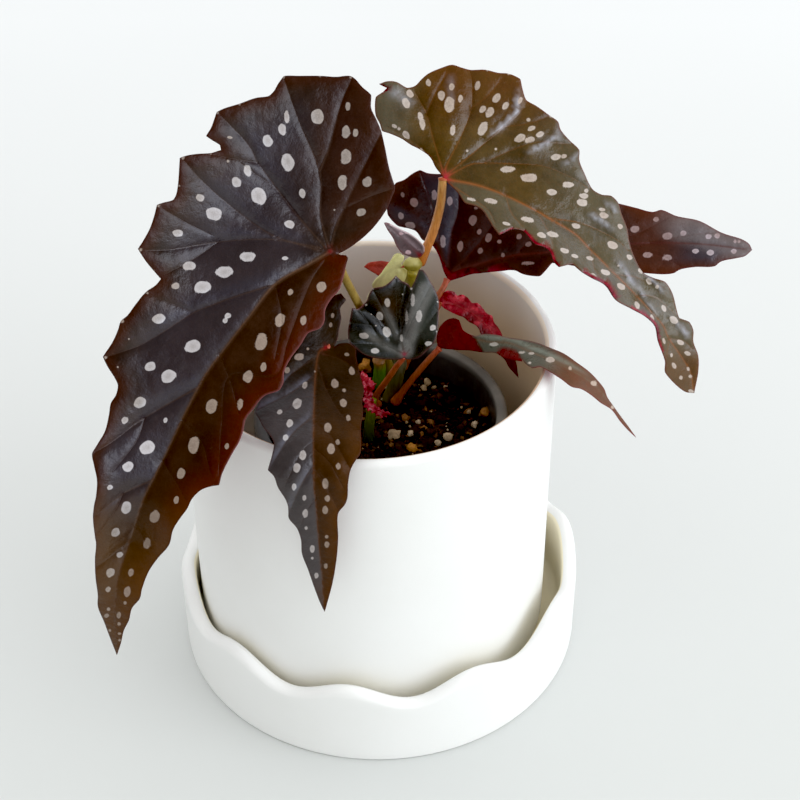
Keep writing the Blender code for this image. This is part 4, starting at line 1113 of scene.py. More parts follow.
def build_centre():
    outline = [(404.6, 357.5), (400, 359), (392, 359.5), (380, 358.6), (370, 357), (363, 354),
               (356, 348), (349, 342), (348, 333), (349, 323), (351, 313), (352, 308), (358, 309),
               (364, 304), (367, 300), (369, 294), (373, 288.5), (384, 286), (392, 280),
               (396, 275.5), (400.5, 280), (409, 285), (411, 288.5), (415, 280), (419, 269.5),
               (423, 270), (430, 281), (436, 292), (438.5, 301), (438.5, 316), (438, 328),
               (435, 341), (427, 350), (419, 357), (410, 359.5), (406, 359)]
    depth = [(404, 354, -8), (349, 330, -7), (356, 350, -9), (380, 358, -9), (435, 341, -8),
             (438, 316, -4), (438, 300, -1), (420, 270, 3), (396, 276, 0), (373, 288, -3),
             (395, 318, -3)]
    C = lambda *p: near(330, 230, 0.08929, *p)
    midrib = C((835, 1390), (800, 1130), (920, 700), (1000, 450))
    veins = [C((835, 1385), (600, 1260), (460, 1080), (330, 900)),
             C((835, 1380), (720, 1130), (600, 900), (480, 670)),
             C((835, 1370), (760, 1120), (740, 800), (735, 545)),
             C((840, 1385), (880, 1350), (1100, 1050), (1200, 905)),
             C((830, 1392), (600, 1290), (300, 1270), (220, 1240))]
    minor = [C((1000, 1170), (1100, 1180), (1195, 1140)), C((480, 1080), (380, 1060), (225, 1040)),
             C((850, 1200), (930, 1000), (1120, 640))]
    spots = C((641, 811, 33, 45), (557, 961, 40, 45), (635, 1140, 48, 58), (380, 1182, 50, 35),
              (503, 1354, 42, 32), (802, 1212, 18, 35), (930, 785, 22, 65), (862, 980, 15, 70),
              (998, 965, 35, 62), (1152, 1094, 32, 32), (1102, 1270, 36, 26))
    dots = [(p[0], p[1], p[2]) for p in C((480, 655, 12), (615, 620, 9), (735, 534, 8),
                                          (912, 655, 13), (405, 835, 11), (462, 943, 8),
                                          (512, 1070, 8), (212, 1040, 9), (210, 1243, 11),
                                          (1205, 803, 9), (1195, 1135, 9), (810, 718, 8))]

    # strong creases: the small leaf is still pleated from the bud
    valleys = [C((700, 1200), (560, 1010), (400, 890)), C((800, 1150), (790, 900), (850, 620)),
               C((560, 1285), (420, 1240), (330, 1215))]

    def extra(q, d_edge, d_mid, along, side, r):
        out = np.zeros(len(q))
        for ln, h, w in ((valleys[0], 2.4, 6.0), (valleys[1], 3.0, 6.0), (valleys[2], 1.2, 4.0)):
            d, _, _ = seg_distance(q, ln)
            out -= h * np.exp(-(d / w) ** 1.4) * smooth01((r - 4) / 22)
        return out

    # painted sheen on the right lobe and along the lower edge by the sinus
    def sheen_and_shade_paint(f):
        q = f["q"]
        return smooth01((q[:, 0] - 404) / 16) * smooth01((352 - q[:, 1]) / 25) * 0.9 + \
            0.4 * smooth01((q[:, 1] - 330) / 6) * smooth01((405 - q[:, 0]) / 10)

    def light(f):
        q = f["q"]
        low, _, _ = seg_distance(q, [(367, 334), (381, 344), (393, 350), (403, 354)])
        right, _, _ = seg_distance(q, [(405, 350), (411, 325), (420, 303), (426, 290)])
        mid, _, _ = seg_distance(q, [(397, 336), (391, 322), (385, 309)])
        low = 0.8 * np.exp(-(low / 3.6) ** 2)
        low = np.maximum(low, 0.6 * np.exp(-(mid / 3.4) ** 2))
        return np.maximum(low, 0.95 * smooth01(1.5 - right / 8.0)
                          * smooth01((q[:, 0] - (417 - 0.30 * (q[:, 1] - 290))) / 3.0 + 1.0))

    # red-brown, partly own colour and partly painted glow of light through the leaf: a patch on the upper
    # left
    def redbrown_glow(f):
        q = f["q"]
        return 0.8 * np.exp(-(((q[:, 0] - 388) / 11) ** 2 + ((q[:, 1] - 306) / 14) ** 2))

    leaf("leaf_centre_blade", outline, depth, (404.6, 354.5), midrib, veins, minor, spots, dots,
         pitch=2.6, pleat=0.9, pleat_w=5.0, minor_h=0.3, minor_w=3.0, curl=0.6, curl_w=3.0,
         waves=0.25, mats=(GREEN, UNDER, MARGIN_PINK), sheen_and_shade_paint=sheen_and_shade_paint, seed=9,
         vein_w=0.6, extra=extra, reach=22.0, heart_r=0.5, light=light, redbrown_glow=redbrown_glow, groove=0.12,
         matte=lambda f: 0.9 * np.exp(-((f["q"][:, 0] - 366) / 14) ** 2
                                      - ((f["q"][:, 1] - 322) / 14) ** 2))


def build_front():
    outline = [(334, 347), (337.5, 339), (339, 330), (341, 318), (340, 308), (346, 300), (341, 293.5),
               (333, 296), (325, 300), (315, 308), (305, 322), (297, 336), (290, 350), (282, 362),
               (275, 375), (266, 390), (259, 403), (255, 413), (259, 419), (263, 427), (271, 437),
               (274, 443), (272, 456), (268, 470), (274, 476), (278, 487), (286, 500), (288, 506),
               (289, 518), (297, 528), (301, 539), (302, 553), (308, 569), (315, 589), (320, 602),
               (324.6, 611.7), (328, 600), (333, 580), (337, 554), (338, 537), (338, 513),
               (345, 504), (347, 499), (348, 483), (350, 471), (355, 461), (360, 454), (361, 425),
               (363, 413), (362, 401), (364, 391), (361, 379), (358, 366), (356, 356), (356, 349),
               (348, 343), (339, 344)]
    depth = [(326, 348, -20), (340, 295, -8), (341, 324, -14), (300, 322, -16), (348, 343, -19),
             (356, 349, -21), (358, 366, -27), (364, 391, -37), (363, 413, -48), (360, 454, -67),
             (350, 471, -70.5), (347, 499, -72.5), (338, 537, -73.5), (324, 611, -74),
             (302, 553, -73.5), (288, 506, -72.5), (274, 476, -71), (268, 468, -69.5),
             (272, 443, -63), (255, 413, -51), (275, 385, -39), (296, 352, -26),
             (316, 373, -30), (314, 404, -45), (313, 444, -63.5), (314, 485, -72)]
    C = lambda *p: near(250, 270, 0.08929, *p)
    D = lambda *p: near(230, 400, 0.12755, *p)
    E = lambda *p: near(80, 320, 0.21684, *p)
    F = lambda *p: near(240, 220, 0.20408, *p)
    midrib = [(326, 348), (318.6, 353), (315.5, 373), (314, 404), (313.5, 444), (314, 485),
              (316, 504), (318.5, 537), (322, 575), (324, 604)]
    veins = [F((400, 650), (330, 700), (250, 760), (190, 830)),
             F((372, 760), (250, 850), (130, 910), (85, 935)),
             F((362, 960), (250, 1060), (150, 1215)),
             F((365, 1200), (300, 1300), (240, 1445)),
             F((395, 655), (480, 680), (560, 720)),
             F((375, 690), (420, 830), (500, 960), (590, 1040)),
             F((365, 1000), (450, 1070), (540, 1220)),
             F((370, 1230), (430, 1310), (480, 1420))]
    minor = [F((372, 860), (300, 880), (200, 960)), F((364, 1080), (300, 1140), (220, 1300)),
             F((420, 830), (500, 830), (590, 850)), F((366, 1120), (440, 1190), (505, 1310)),
             F((372, 1360), (330, 1420), (290, 1510))]
    spots = C((548, 975, 50, 42), (415, 1125, 28, 35), (645, 885, 15, 15), (613, 1293, 30, 38),
              (725, 1140, 10, 10), (528, 1500, 52, 55), (950, 1275, 45, 45), (1055, 1352, 20, 20),
              (1045, 1493, 42, 42), (1085, 948, 25, 20), (1140, 1135, 32, 45), (925, 510, 20, 25),
              (903, 615, 20, 25))
    spots += D((389, 96, 21, 18), (468, 185, 27, 29), (435, 296, 22, 22), (570, 434, 29, 35),
               (524, 531, 30, 33), (502, 679, 19, 25), (767, 218, 31, 33), (792, 385, 32, 37),
               (846, 332, 18, 19), (928, 143, 18, 22), (849, 519, 20, 22), (748, 654, 27, 37),
               (763, 770, 22, 22), (583, 765, 16, 20))
    spots += E((988, 768, 12, 14), (1035, 820, 8, 11), (1039, 891, 14, 18), (1043, 958, 7, 8),
               (1071, 1054, 12, 16), (1071, 1097, 6, 6), (1131, 752, 16, 22), (1141, 825, 14, 14),
               (1131, 875, 14, 17), (1138, 998, 8, 8), (1139, 1034, 12, 13), (1134, 1133, 9, 11),
               (1090, 1177, 10, 12))
    kept = []
    for s in spots:
        if all(math.hypot(s[0] - t[0], s[1] - t[1]) > 3.0 for t in kept):
            kept.append(s)

    # painted sheen on the left half below its top, strongest beside the side veins
    def sheen_and_shade_paint(f):
        return (f["side"] > 0) * smooth01((f["q"][:, 1] - 372) / 30) * \
            (0.68 + 0.32 * sheen(f, 3.5, 3.4))

    # red-brown, partly own colour and partly painted glow of light through the leaf: the right half, most
    # at its margin, and the tip
    def redbrown_glow(f):
        q = f["q"]
        right = f["side"] < 0
        return right * (0.25 + 0.75 * smooth01((q[:, 1] - 380) / 70)) * \
            (0.55 + 0.45 * smooth01(1 - f["d_edge"] / 22)) \
            + (~right) * 0.5 * smooth01((q[:, 1] - 570) / 30)

    leaf("leaf_front_blade", outline, depth, (326, 347), midrib, veins, minor, kept, (),
         pitch=3.4, pleat=1.25, pleat_w=6.5, minor_h=0.4, minor_w=3.5, curl=0.7, curl_w=4.0,
         mats=(FRONTM, UNDER, MARGIN), sheen_and_shade_paint=sheen_and_shade_paint, redbrown_glow=redbrown_glow, seed=11, vein_w=0.8,
         waves=0.3, reach=35.0, heart_r=0.7, groove=0.34,
         light=lambda f: 0.60 * sheen(f, 3.2, 2.3) * (f["side"] > 0)
         * smooth01((f["q"][:, 1] - 366) / 16) * smooth01(f["d_mid"] / 5 - 0.6)
         * smooth01(0.75 + wobble(f["q"], 16.0, 83)),
         matte=lambda f: np.maximum(
             np.maximum(0.90 * (f["side"] < 0) * (f["q"][:, 1] > 350),
                        0.80 * smooth01((400 - f["q"][:, 1]) / 30)),
             (f["side"] >= 0) * 0.30 * (1 - sheen(f, 3.2, 4.0))))


def build_lower():
    outline = [(438, 348), (437, 339), (440, 327), (447, 320), (454, 318), (459, 320), (463, 330),
               (474, 336), (484, 334), (497, 335), (510, 338), (524, 340), (537, 343), (550, 348),
               (564, 354), (577, 363), (588, 371), (597, 380), (604, 389), (607, 397), (613, 406),
               (621, 417), (630, 429), (636, 437.5), (628, 430), (620, 421), (612, 410), (601, 403),
               (591, 395), (581, 389), (572, 387), (561, 379), (550, 372), (540, 367), (532, 368),
               (526, 364), (522, 359), (518, 351), (510, 348), (502, 347), (496, 352), (490, 354),
               (485, 352.5), (470, 350.5), (454, 349.5)]
    # the lower margin is rolled: its red underside shows behind and below the green
    outline[37:41] = [(522, 361.5), (515, 360.5), (507, 358.5), (500, 355.5)]
    outline[41] = (496, 353)
    depth = [(438, 349, 8), (447, 320, 12), (459, 320, 9), (463, 330, 6), (484, 334, 1),
             (510, 338, -3.5), (537, 343, -8.5), (550, 348, -11), (564, 354, -14),
             (588, 371, -20), (607, 397, -22), (636, 437, -23), (612, 410, -25),
             (581, 389, -27), (561, 379, -26), (550, 372, -23.5), (540, 367, -20.5),
             (526, 364, -17), (518, 352, -11), (502, 348, -5), (485, 352, -1), (470, 350, 2),
             (454, 349, 5)]
    C = lambda *p: near(430, 260, 0.13393, *p)
    midrib = [(476, 339), (490, 342), (510, 343.5), (530, 352), (550, 360), (570, 370),
              (590, 382), (607, 399), (622, 419), (632, 433)]
    spots = C((480, 630, 30, 16), (685, 693, 20, 9), (757, 700, 20, 10), (898, 747, 30, 23),
              (745, 770, 13, 9), (1045, 810, 12, 14), (1220, 922, 21, 21), (1360, 1100, 12, 12))
    red_a = [(434, 350), (434, 338), (438, 325), (447, 318), (454, 316), (460, 318), (464, 329),
             (470, 334), (475, 338), (479, 344), (483, 351), (485, 354.5), (470, 352.5),
             (454, 352)]
    red_b = [(495, 354.5), (498, 351), (503, 348), (510, 348.5), (517, 351.5), (521, 357),
             (523, 363), (515, 363), (505, 360)]

    # painted sheen toward the leaf's base end
    def sheen_and_shade_paint(f):
        return smooth01((540 - f["q"][:, 0]) / 50)

    # red-brown, partly own colour and partly painted glow of light through the leaf: toward the tip
    def redbrown_glow(f):
        return smooth01((f["q"][:, 0] - 538) / 30)

    leaf("leaf_right_lower_blade", outline, depth, (440, 349), midrib,
         [[(520, 348), (535, 347), (550, 350)], [(560, 366), (575, 366), (590, 374)],
          [(500, 343), (508, 339), (520, 341)]],
         [[(540, 356), (552, 364), (560, 374)], [(590, 382), (600, 388), (606, 396)]], spots, (),
         pitch=2.4, pleat=0.7, pleat_w=4.0, minor_h=0.25, curl=0.5, curl_w=3.0,
         mats=(LOWERM, UNDER_BRIGHT, MARGIN_RED), sheen_and_shade_paint=sheen_and_shade_paint, redbrown_glow=redbrown_glow,
         seed=13, vein_w=0.7, waves=0.45, reach=40.0, folds=((red_a, 1.0), (red_b, 0.9)), step=1.5,
         groove=0.18, light=lambda f: 0.8 * np.exp(-((f["d_mid"] - 4.5) / 2.4) ** 2)
         * (f["side"] < 0) * smooth01((600 - f["q"][:, 0]) / 40))


def plain_leaf(name, outline, depth, rib, mats, seed, replaces, pitch=2.2, pleat=1.0,
               pleat_w=4.0, waves=0.5, veins=(), spots=(), curl=0.5, thick=0.35, extra=None,
               sheen_and_shade_paint=None, redbrown_glow=None, pink=None, sinus=None, fine=0.06, step=1.4,
               light=None):
    leaf(name, outline, depth, sinus or rib[0], rib, veins, (), spots, (), pitch=pitch,
         pleat=pleat, pleat_w=pleat_w, curl=curl, curl_w=2.5, waves=waves, mats=mats,
         seed=seed, vein_w=0.7, replaces=replaces, reach=12.0, thick=thick, extra=extra,
         sheen_and_shade_paint=sheen_and_shade_paint, redbrown_glow=redbrown_glow, pink=pink, fine=fine, step=step, light=light)


def crinkle(h, scale, seed):
    def f(q, *rest):
        return h * (wobble(q, scale, seed) + 0.5 * wobble(q, scale * 0.45, seed + 1))
    return f


def build_small():
    inner = [(439, 300), (443, 293), (448, 290.5), (454, 292), (457, 296), (461, 294.5),
             (467, 297), (472, 303), (477, 303), (482, 307), (486, 313), (492, 316), (494, 322),
             (498, 327), (502, 335), (505, 343), (509, 350), (513, 356), (516, 363), (518.5, 378),
             (513, 372), (509, 367.5), (505, 360), (500, 355), (494, 348), (489, 342), (481, 334),
             (479, 329), (475, 325), (469, 322), (463, 317), (457, 315), (449, 311), (443, 307.5)]
    inner_y = [(439, 299, 26), (447, 291, 27), (469, 303, 25), (492, 316, 22), (502, 335, 18.5),
               (514, 356, 16), (518, 378, 15), (501, 356, 14.5), (481, 334, 17), (469, 322, 20),
               (457, 315, 22), (443, 307, 25)]
    plain_leaf("leaf_inner_blade", inner, inner_y,
               [(440, 303), (455, 305), (470, 312), (485, 324), (497, 340), (508, 358), (515, 372)],
               (INNER_RED, INNER_RED, MARGIN_RED), 21, ("leaf_inner",), pleat=1.2,
               waves=0.9, veins=[[(455, 305), (462, 299), (468, 299)],
                                 [(470, 312), (478, 307), (484, 311)],
                                 [(462, 308), (466, 314), (470, 320)],
                                 [(478, 318), (482, 326), (484, 334)],
                                 [(490, 330), (496, 328), (499, 330)]],
               extra=crinkle(0.7, 7.0, 31),
               # painted shade: the lower part and one flank of the inner leaf darker red
               sheen_and_shade_paint=lambda f: np.maximum(smooth01((f["q"][:, 1] - 332) / 22), 0.85 * smooth01(
                   f["d_mid"] * f["side"] / 6) * smooth01((f["q"][:, 0] - 458) / 16)),
               light=lambda f: 0.9 * smooth01((wobble(f["q"], 5.0, 71) - 0.05) / 0.25)
               * smooth01((332 - f["q"][:, 1]) / 15) * smooth01(1.2 - f["d_edge"] / 9))
    back = [(364, 267), (367, 264), (370, 262.5), (376, 261.5), (381, 261), (388, 262), (396, 263),
            (403, 268), (402, 275), (396, 278), (388, 279), (380, 276.5), (374, 273), (368, 269.5)]
    back_y = [(364, 267, 37), (382, 261, 37), (404, 268, 30), (402, 278, 27), (386, 279, 31),
              (374, 273, 35)]
    plain_leaf("leaf_back_blade", back, back_y, [(400, 272), (390, 269.5), (380, 268), (368, 267)],
               (BACK_RED, UNDER, MARGIN_RED), 22, ("leaf_back",), pleat=0.8)
    young = [(384, 223), (386.5, 222.5), (392, 225), (402, 230), (412, 235), (419, 240.5),
             (424, 246), (424, 252), (420, 257), (414, 257.5), (409, 256), (402, 253), (397, 247),
             (393, 238), (387, 229)]
    young_y = [(384, 223, 2), (402, 230, 4), (423, 245, 9), (420, 257, 11), (402, 253, 6),
               (392, 238, 3)]

    def pink(f):
        q = f["q"]
        return ((q[:, 1] < 0.62 * (q[:, 0] - 384) + 226.5) & (q[:, 0] > 390)) * 1.0

    leaf("leaf_young_blade", young, young_y, (420, 256),
         [(420, 255), (410, 246), (400, 236), (388, 225)],
         [[(410, 246), (404, 247), (400, 248)], [(405, 240), (412, 240), (417, 243)]], (),
         near(370, 150, 0.12755, (243, 652, 17, 12), (280, 645, 9, 9), (298, 800, 21, 17)), (),
         pitch=2.2, pleat=0.9, pleat_w=4.0, curl=0.5, curl_w=2.5, waves=0.4,
         mats=(YOUNGM, UNDER, MARGIN_PINK), seed=23, vein_w=0.7, reach=14.0,
         pink=pink, step=1.5, groove=0.10,
         light=lambda f: 0.9 * np.exp(-((f["d_mid"] - 3.0) / 2.2) ** 2)
         * (f["q"][:, 1] < 0.70 * (f["q"][:, 0] - 384) + 226))
    bud = [(361, 372), (362.5, 370.5), (364, 373), (367, 374.5), (368, 377.5), (371, 377.5),
           (370.5, 380), (373, 380.5), (374, 383), (376.5, 383.5), (374.5, 386), (374, 389),
           (371.5, 391), (373, 394), (371.5, 397), (374, 399.5), (373.5, 403), (376, 404),
           (376.5, 407), (379, 407), (380.5, 410), (383, 409.5), (385, 412), (388, 411.5),
           (391, 414.5), (387, 415), (386.5, 417.5), (383.5, 416), (381.5, 418.5), (379, 415),
           (376, 416), (375, 412.5), (371.5, 413.5), (371, 410), (367.5, 411.5), (367, 408),
           (363.5, 407), (365, 403), (362.5, 400), (364.5, 396), (362.5, 392), (364, 388),
           (361, 385), (362.5, 381), (360, 378)]
    bud_y = [(360, 372, -11), (377, 384, -9), (364, 392, -12), (376, 400, -11), (391, 414, -13),
             (373, 413, -14)]
    plain_leaf("leaf_bud_blade", bud, bud_y, [(363, 374), (367, 385), (367, 396), (373, 408),
                                              (386, 415)],
               (BUD_RED, BUD_RED, MARGIN_RED), 24, ("leaf_bud",), pitch=1.2,
               pleat=0.8, waves=0.5, thick=0.3, extra=crinkle(1.5, 4.6, 41), fine=0.25, step=0.9)


make_camera()
for build in (build_left, build_right, build_rear, build_centre, build_front, build_lower,
              build_small):
    build()


# ------------------------------------------------------------------ other materials
def ceramic(name, colour, warm, rough=0.48, low=None, front=None):
    """low: (height, height, colour) of a painted warm shade deep inside, fuller toward +X; front: its
    colour toward -Y.
    """
    m, nt, b = new_mat(name)
    k = Nodes(nt)
    base = k.mix(k.ramp(k.noise(28.0, 4.0, 0.6), 0.3, 0.7), colour, warm)
    if low is not None:
        across = nt.nodes.new("ShaderNodeSeparateXYZ")
        k.link(k.coords(), across.inputs[0])
        base = k.mix(k.math("MULTIPLY", k.ramp(k.z(), low[0], low[1], 1.0, 0.0, smooth=True),
                            k.ramp(across.outputs[0], -0.01, 0.035, 0.45, 1.0)), base, low[2])
    if front is not None:
        part = nt.nodes.new("ShaderNodeSeparateXYZ")
        k.link(k.coords(), part.inputs[0])
        base = k.mix(k.ramp(part.outputs[1], -0.03, 0.01, 1.0, 0.0, smooth=True), base, front)
    speck = k.ramp(k.noise(1500.0, 2.0, 0.7), 0.70, 0.80, 0.0, 0.10)
    base = k.mix(speck, base, tuple(0.72 * c for c in colour))
    k.link(base, b.inputs["Base Color"])
    k.link(k.ramp(k.noise(70.0, 2.0), 0.3, 0.7, rough - 0.05, rough + 0.07), b.inputs["Roughness"])
    h = k.math("ADD", k.noise(46.0, 2.0), k.math("MULTIPLY", k.noise(420.0, 3.0), 0.25))
    k.link(k.bump(h, 0.10, 0.0012), b.inputs["Normal"])
    b.inputs["Specular IOR Level"].default_value = 0.35
    return m


def plastic(name, colour):
    m, nt, b = new_mat(name)
    k = Nodes(nt)
    dust = k.ramp(k.noise(240.0, 4.0, 0.65), 0.52, 0.72, 0.0, 0.55)
    base = k.mix(dust, colour, (0.085, 0.078, 0.068))
    # the rim top gets a painted highlight, grey with noise, on the lit right side and fading out to the
    # left; the inside stays dark
    part = nt.nodes.new("ShaderNodeSeparateXYZ")
    k.link(k.coords(), part.inputs[0])
    rim_highlight = k.math("MULTIPLY", k.ramp(k.z(), 0.0955, 0.0981), k.ramp(k.noise(90.0), 0.3, 0.6, 0.55, 1.0))
    rim_highlight = k.math("MULTIPLY", rim_highlight, k.ramp(part.outputs[0], -0.02, 0.015, 0.06, 1.0))
    base = k.mix(rim_highlight, base, (0.21, 0.20, 0.175))
    k.link(base, b.inputs["Base Color"])
    k.link(k.ramp(k.noise(160.0, 3.0), 0.3, 0.7, 0.30, 0.52), b.inputs["Roughness"])
    k.link(k.bump(k.noise(1300.0, 2.0), 0.25, 0.0002), b.inputs["Normal"])
    return m


def stalk_mat(name, stops, streak, rough=0.36, speck=(0.45, 0.40, 0.28), speck_f=0.35):
    """stops: colours along the stalk, as (0..1, colour)."""
    m, nt, b = new_mat(name)
    k = Nodes(nt)
    along = k.attr("along")
    base = stops[0][1]
    for (t0, _), (t1, c1) in zip(stops, stops[1:]):
        base = k.mix(k.ramp(along, t0, t1), base, c1)
    mp = nt.nodes.new("ShaderNodeMapping")
    mp.inputs["Scale"].default_value = (1.0, 1.0, 0.18)
    k.link(k.coords(), mp.inputs["Vector"])
    lines = k.noise(1400.0, 3.0, 0.6, co=mp.outputs[0])
    base = k.mix(k.ramp(lines, 0.42, 0.66, 0.0, 0.5), base, streak)
    dots = k.ramp(k.voronoi(700.0), 0.0, 0.16, 1.0, 0.0)
    base = k.mix(k.math("MULTIPLY", dots, speck_f), base, speck)
    k.link(base, b.inputs["Base Color"])
    k.link(k.ramp(lines, 0.3, 0.7, rough - 0.06, rough + 0.10), b.inputs["Roughness"])
    h = k.math("ADD", lines, k.math("MULTIPLY", dots, 0.3))
    k.link(k.bump(h, 0.35, 0.00025), b.inputs["Normal"])
    return m


def tone_mat(name, stops, rough=0.9, scale=900.0, bump=0.0006, spec=0.3, dirt=0.55):
    """Bits whose colour runs along stops with each bit's own tone."""
    m, nt, b = new_mat(name)
    k = Nodes(nt)
    tone = k.attr("tone")
    base = stops[0][1]
    for (t0, _), (t1, c1) in zip(stops, stops[1:]):
        base = k.mix(k.ramp(tone, t0, t1), base, c1)
    n = k.noise(scale, 4.0, 0.65)
    base = k.mix(k.ramp(n, 0.35, 0.7, 0.0, dirt), base, tuple(0.25 * c for c in stops[0][1]))
    k.link(base, b.inputs["Base Color"])
    b.inputs["Roughness"].default_value = rough
    b.inputs["Specular IOR Level"].default_value = spec
    k.link(k.bump(n, 0.8, bump), b.inputs["Normal"])
    return m


POT_OUT = ceramic("pot_outside", (0.87, 0.875, 0.86), (0.89, 0.895, 0.885))
# the lower inside is painted warm tan for the shade and warm bounce deep in the pot
POT_IN = ceramic("pot_inside", (0.95, 0.925, 0.89), (0.96, 0.94, 0.905),
                 low=(0.102, 0.137, (0.79, 0.61, 0.41)))
# the lip is painted warm tan for the shade on the rim's inner edge, darker tan toward the front
POT_LIP = ceramic("pot_lip", (0.90, 0.80, 0.66), (0.92, 0.84, 0.72),
                  front=(0.72, 0.50, 0.34))
SAUCER_OUT = ceramic("saucer_outside", (0.87, 0.875, 0.86), (0.89, 0.895, 0.885))
# the inside is painted golden for the warm bounced light and shade in the gap between pot and saucer
SAUCER_IN = ceramic("saucer_inside", (0.95, 0.87, 0.64), (0.96, 0.89, 0.69))
PLASTIC = plastic("nursery_plastic_black", (0.052, 0.049, 0.050))
SOIL = tone_mat("soil_ground", [(0.0, (0.022, 0.0120, 0.0060)), (1.0, (0.050, 0.0265, 0.0125))])
CRUMB = tone_mat("soil_crumbs", [(0.0, (0.0200, 0.0110, 0.0056)), (0.5, (0.046, 0.0240, 0.0115)),
                                 (0.85, (0.105, 0.048, 0.0170)), (1.0, (0.24, 0.112, 0.038))])
BARK = tone_mat("soil_bark", [(0.0, (0.018, 0.0075, 0.003)), (0.45, (0.060, 0.024, 0.008)),
                              (0.8, (0.30, 0.130, 0.036)), (1.0, (0.62, 0.27, 0.050))], rough=0.7)
PERLITE = tone_mat("soil_perlite", [(0.0, (0.32, 0.21, 0.10)), (0.5, (0.56, 0.40, 0.24)),
                                    (1.0, (0.74, 0.58, 0.40))], rough=0.8)


# ------------------------------------------------------------------ turned pieces
def settled(ob):
    bpy.context.view_layer.update()
    me = bpy.data.meshes.new_from_object(ob.evaluated_get(bpy.context.evaluated_depsgraph_get()))
    return me


def build_turned():
    steps = 192
    # saucer
    rin, rr = SAUCER_R - SAUCER_WALL, 0.5 * SAUCER_WALL
    prof = [(0.0, 0.0)] + refine([(0.0, 0.0), (SAUCER_R - 1.2, 0.0)], 12)[1:-1]
    prof += arc(SAUCER_R - 1.2, 1.2, 1.2, -90, 0, 7)
    n_out = len(prof)
    prof += refine([(SAUCER_R, 1.8), (SAUCER_R, SAUCER_RIM - rr)], 2.2)[1:-1]
    prof += arc(rin + rr, SAUCER_RIM - rr, rr, 0, 180, 14)
    n_rim = len(prof) - 4
    prof += refine([(rin, SAUCER_RIM - rr), (rin, 9.0)], 2.2)[1:-1]
    prof += arc(rin - 4, 9, 4, 0, -90, 7)
    prof += refine([(rin - 4, 5.0), (0.0, 5.0)], 10)[1:]
    lift = 0.55 * SAUCER_RIM

    def wave(v):
        v = v.copy()
        az = np.arctan2(v[:, 0], -v[:, 1])
        t = (v[:, 2] - lift) / (SAUCER_RIM - lift)
        v[:, 2] += np.where(t > 0, t * SAUCER_WAVE * np.cos(SAUCER_WAVES * (az + SAUCER_PHASE)), 0)
        return v

    ob = lathe("saucer_body", prof, 240, [SAUCER_OUT, SAUCER_IN],
               x=SAUCER_X, warp=wave, pick=lambda i: int(i >= n_rim), closed=False)
    finish_piece(ob, ("saucer",))
    # ceramic pot
    pin, rr, fz, hole = POT_R - POT_WALL, 0.5 * POT_WALL, POT_Z0 + 5.0, 6.0
    prof = [(hole, POT_Z0 + 0.8), (hole + 0.24, POT_Z0 + 0.24), (hole + 0.8, POT_Z0)]
    prof += refine([(hole + 0.8, POT_Z0), (POT_R - 8, POT_Z0)], 12)[1:-1]
    prof += arc(POT_R - 8, POT_Z0 + 8, 8, -90, 0, 12)
    prof += refine([(POT_R, POT_Z0 + 8), (POT_R, POT_Z1 - rr)], 6)[1:-1]
    prof += arc(pin + rr, POT_Z1 - rr, rr, 0, 112, 9)
    n_lip = len(prof) - 1
    prof += arc(pin + rr, POT_Z1 - rr, rr, 124, 180, 5)
    n_in = len(prof) - 2
    prof += refine([(pin, POT_Z1 - rr), (pin, fz + 5)], 6)[1:-1]
    prof += arc(pin - 5, fz + 5, 5, 0, -90, 8)
    prof += refine([(pin - 5, fz), (hole + 0.8, fz)], 10)[1:]
    prof += [(hole + 0.24, fz - 0.24), (hole, fz - 0.8)]
    ob = lathe("pot_body", prof, steps, [POT_OUT, POT_LIP, POT_IN],
               pick=lambda i: 0 if i < n_lip else 1 if i < n_in else 2)
    finish_piece(ob, ("outer_pot",))
    # nursery pot
    w, lip = NURSERY_WALL, NURSERY_RIM_R - 3.8
    z0, z1 = NURSERY_Z0, NURSERY_TOP
    band = z1 - NURSERY_BAND
    slope = (lip - (NURSERY_FOOT_R - w)) / (z1 - z0 - w)
    inner = lambda z: NURSERY_FOOT_R - w + slope * (z - z0 - w)
    prof = [(0.0, z0)] + refine([(0.0, z0), (NURSERY_FOOT_R - 1.5, z0)], 8)[1:]
    prof += [(NURSERY_FOOT_R - 0.4, z0 + 0.6), (NURSERY_FOOT_R, z0 + 2)]
    prof += refine([(NURSERY_FOOT_R, z0 + 2), (inner(band) + w, band)], 8)[1:]
    prof += [(NURSERY_RIM_R - 0.4, band), (NURSERY_RIM_R, band + 0.4)]
    prof += refine([(NURSERY_RIM_R, band + 0.4), (NURSERY_RIM_R, z1 - 1.0)], 3)[1:]
    prof += [(NURSERY_RIM_R - 0.3, z1 - 0.35), (NURSERY_RIM_R - 1.0, z1), (NURSERY_RIM_R - 1.9, z1 + 0.05),
             (NURSERY_RIM_R - 2.5, z1 - 0.25), (lip + 0.8, z1 - 0.2), (lip + 0.2, z1 - 0.45),
             (lip, z1 - 1.0)]
    prof += refine([(lip, z1 - 1.0), (inner(z0 + w + 2), z0 + w + 2)], 2.5)[1:]
    prof += [(inner(z0 + w) - 2, z0 + w)]
    prof += refine([(inner(z0 + w) - 2, z0 + w), (0.0, z0 + w)], 8)[1:]

    def ribs(v):
        v = v.copy()
        r = np.hypot(v[:, 0], v[:, 1])
        az = np.arctan2(v[:, 0], -v[:, 1])
        onin = (v[:, 2] < z1 - 2.5) & (v[:, 2] > z0 + w + 3) & (r < inner(v[:, 2]) + 0.6)
        k = np.where(onin, 1 - 0.35 * np.maximum(0, np.cos(24 * az)) ** 3 / np.maximum(r, 1), 1.0)
        v[:, 0] *= k
        v[:, 1] *= k
        return v

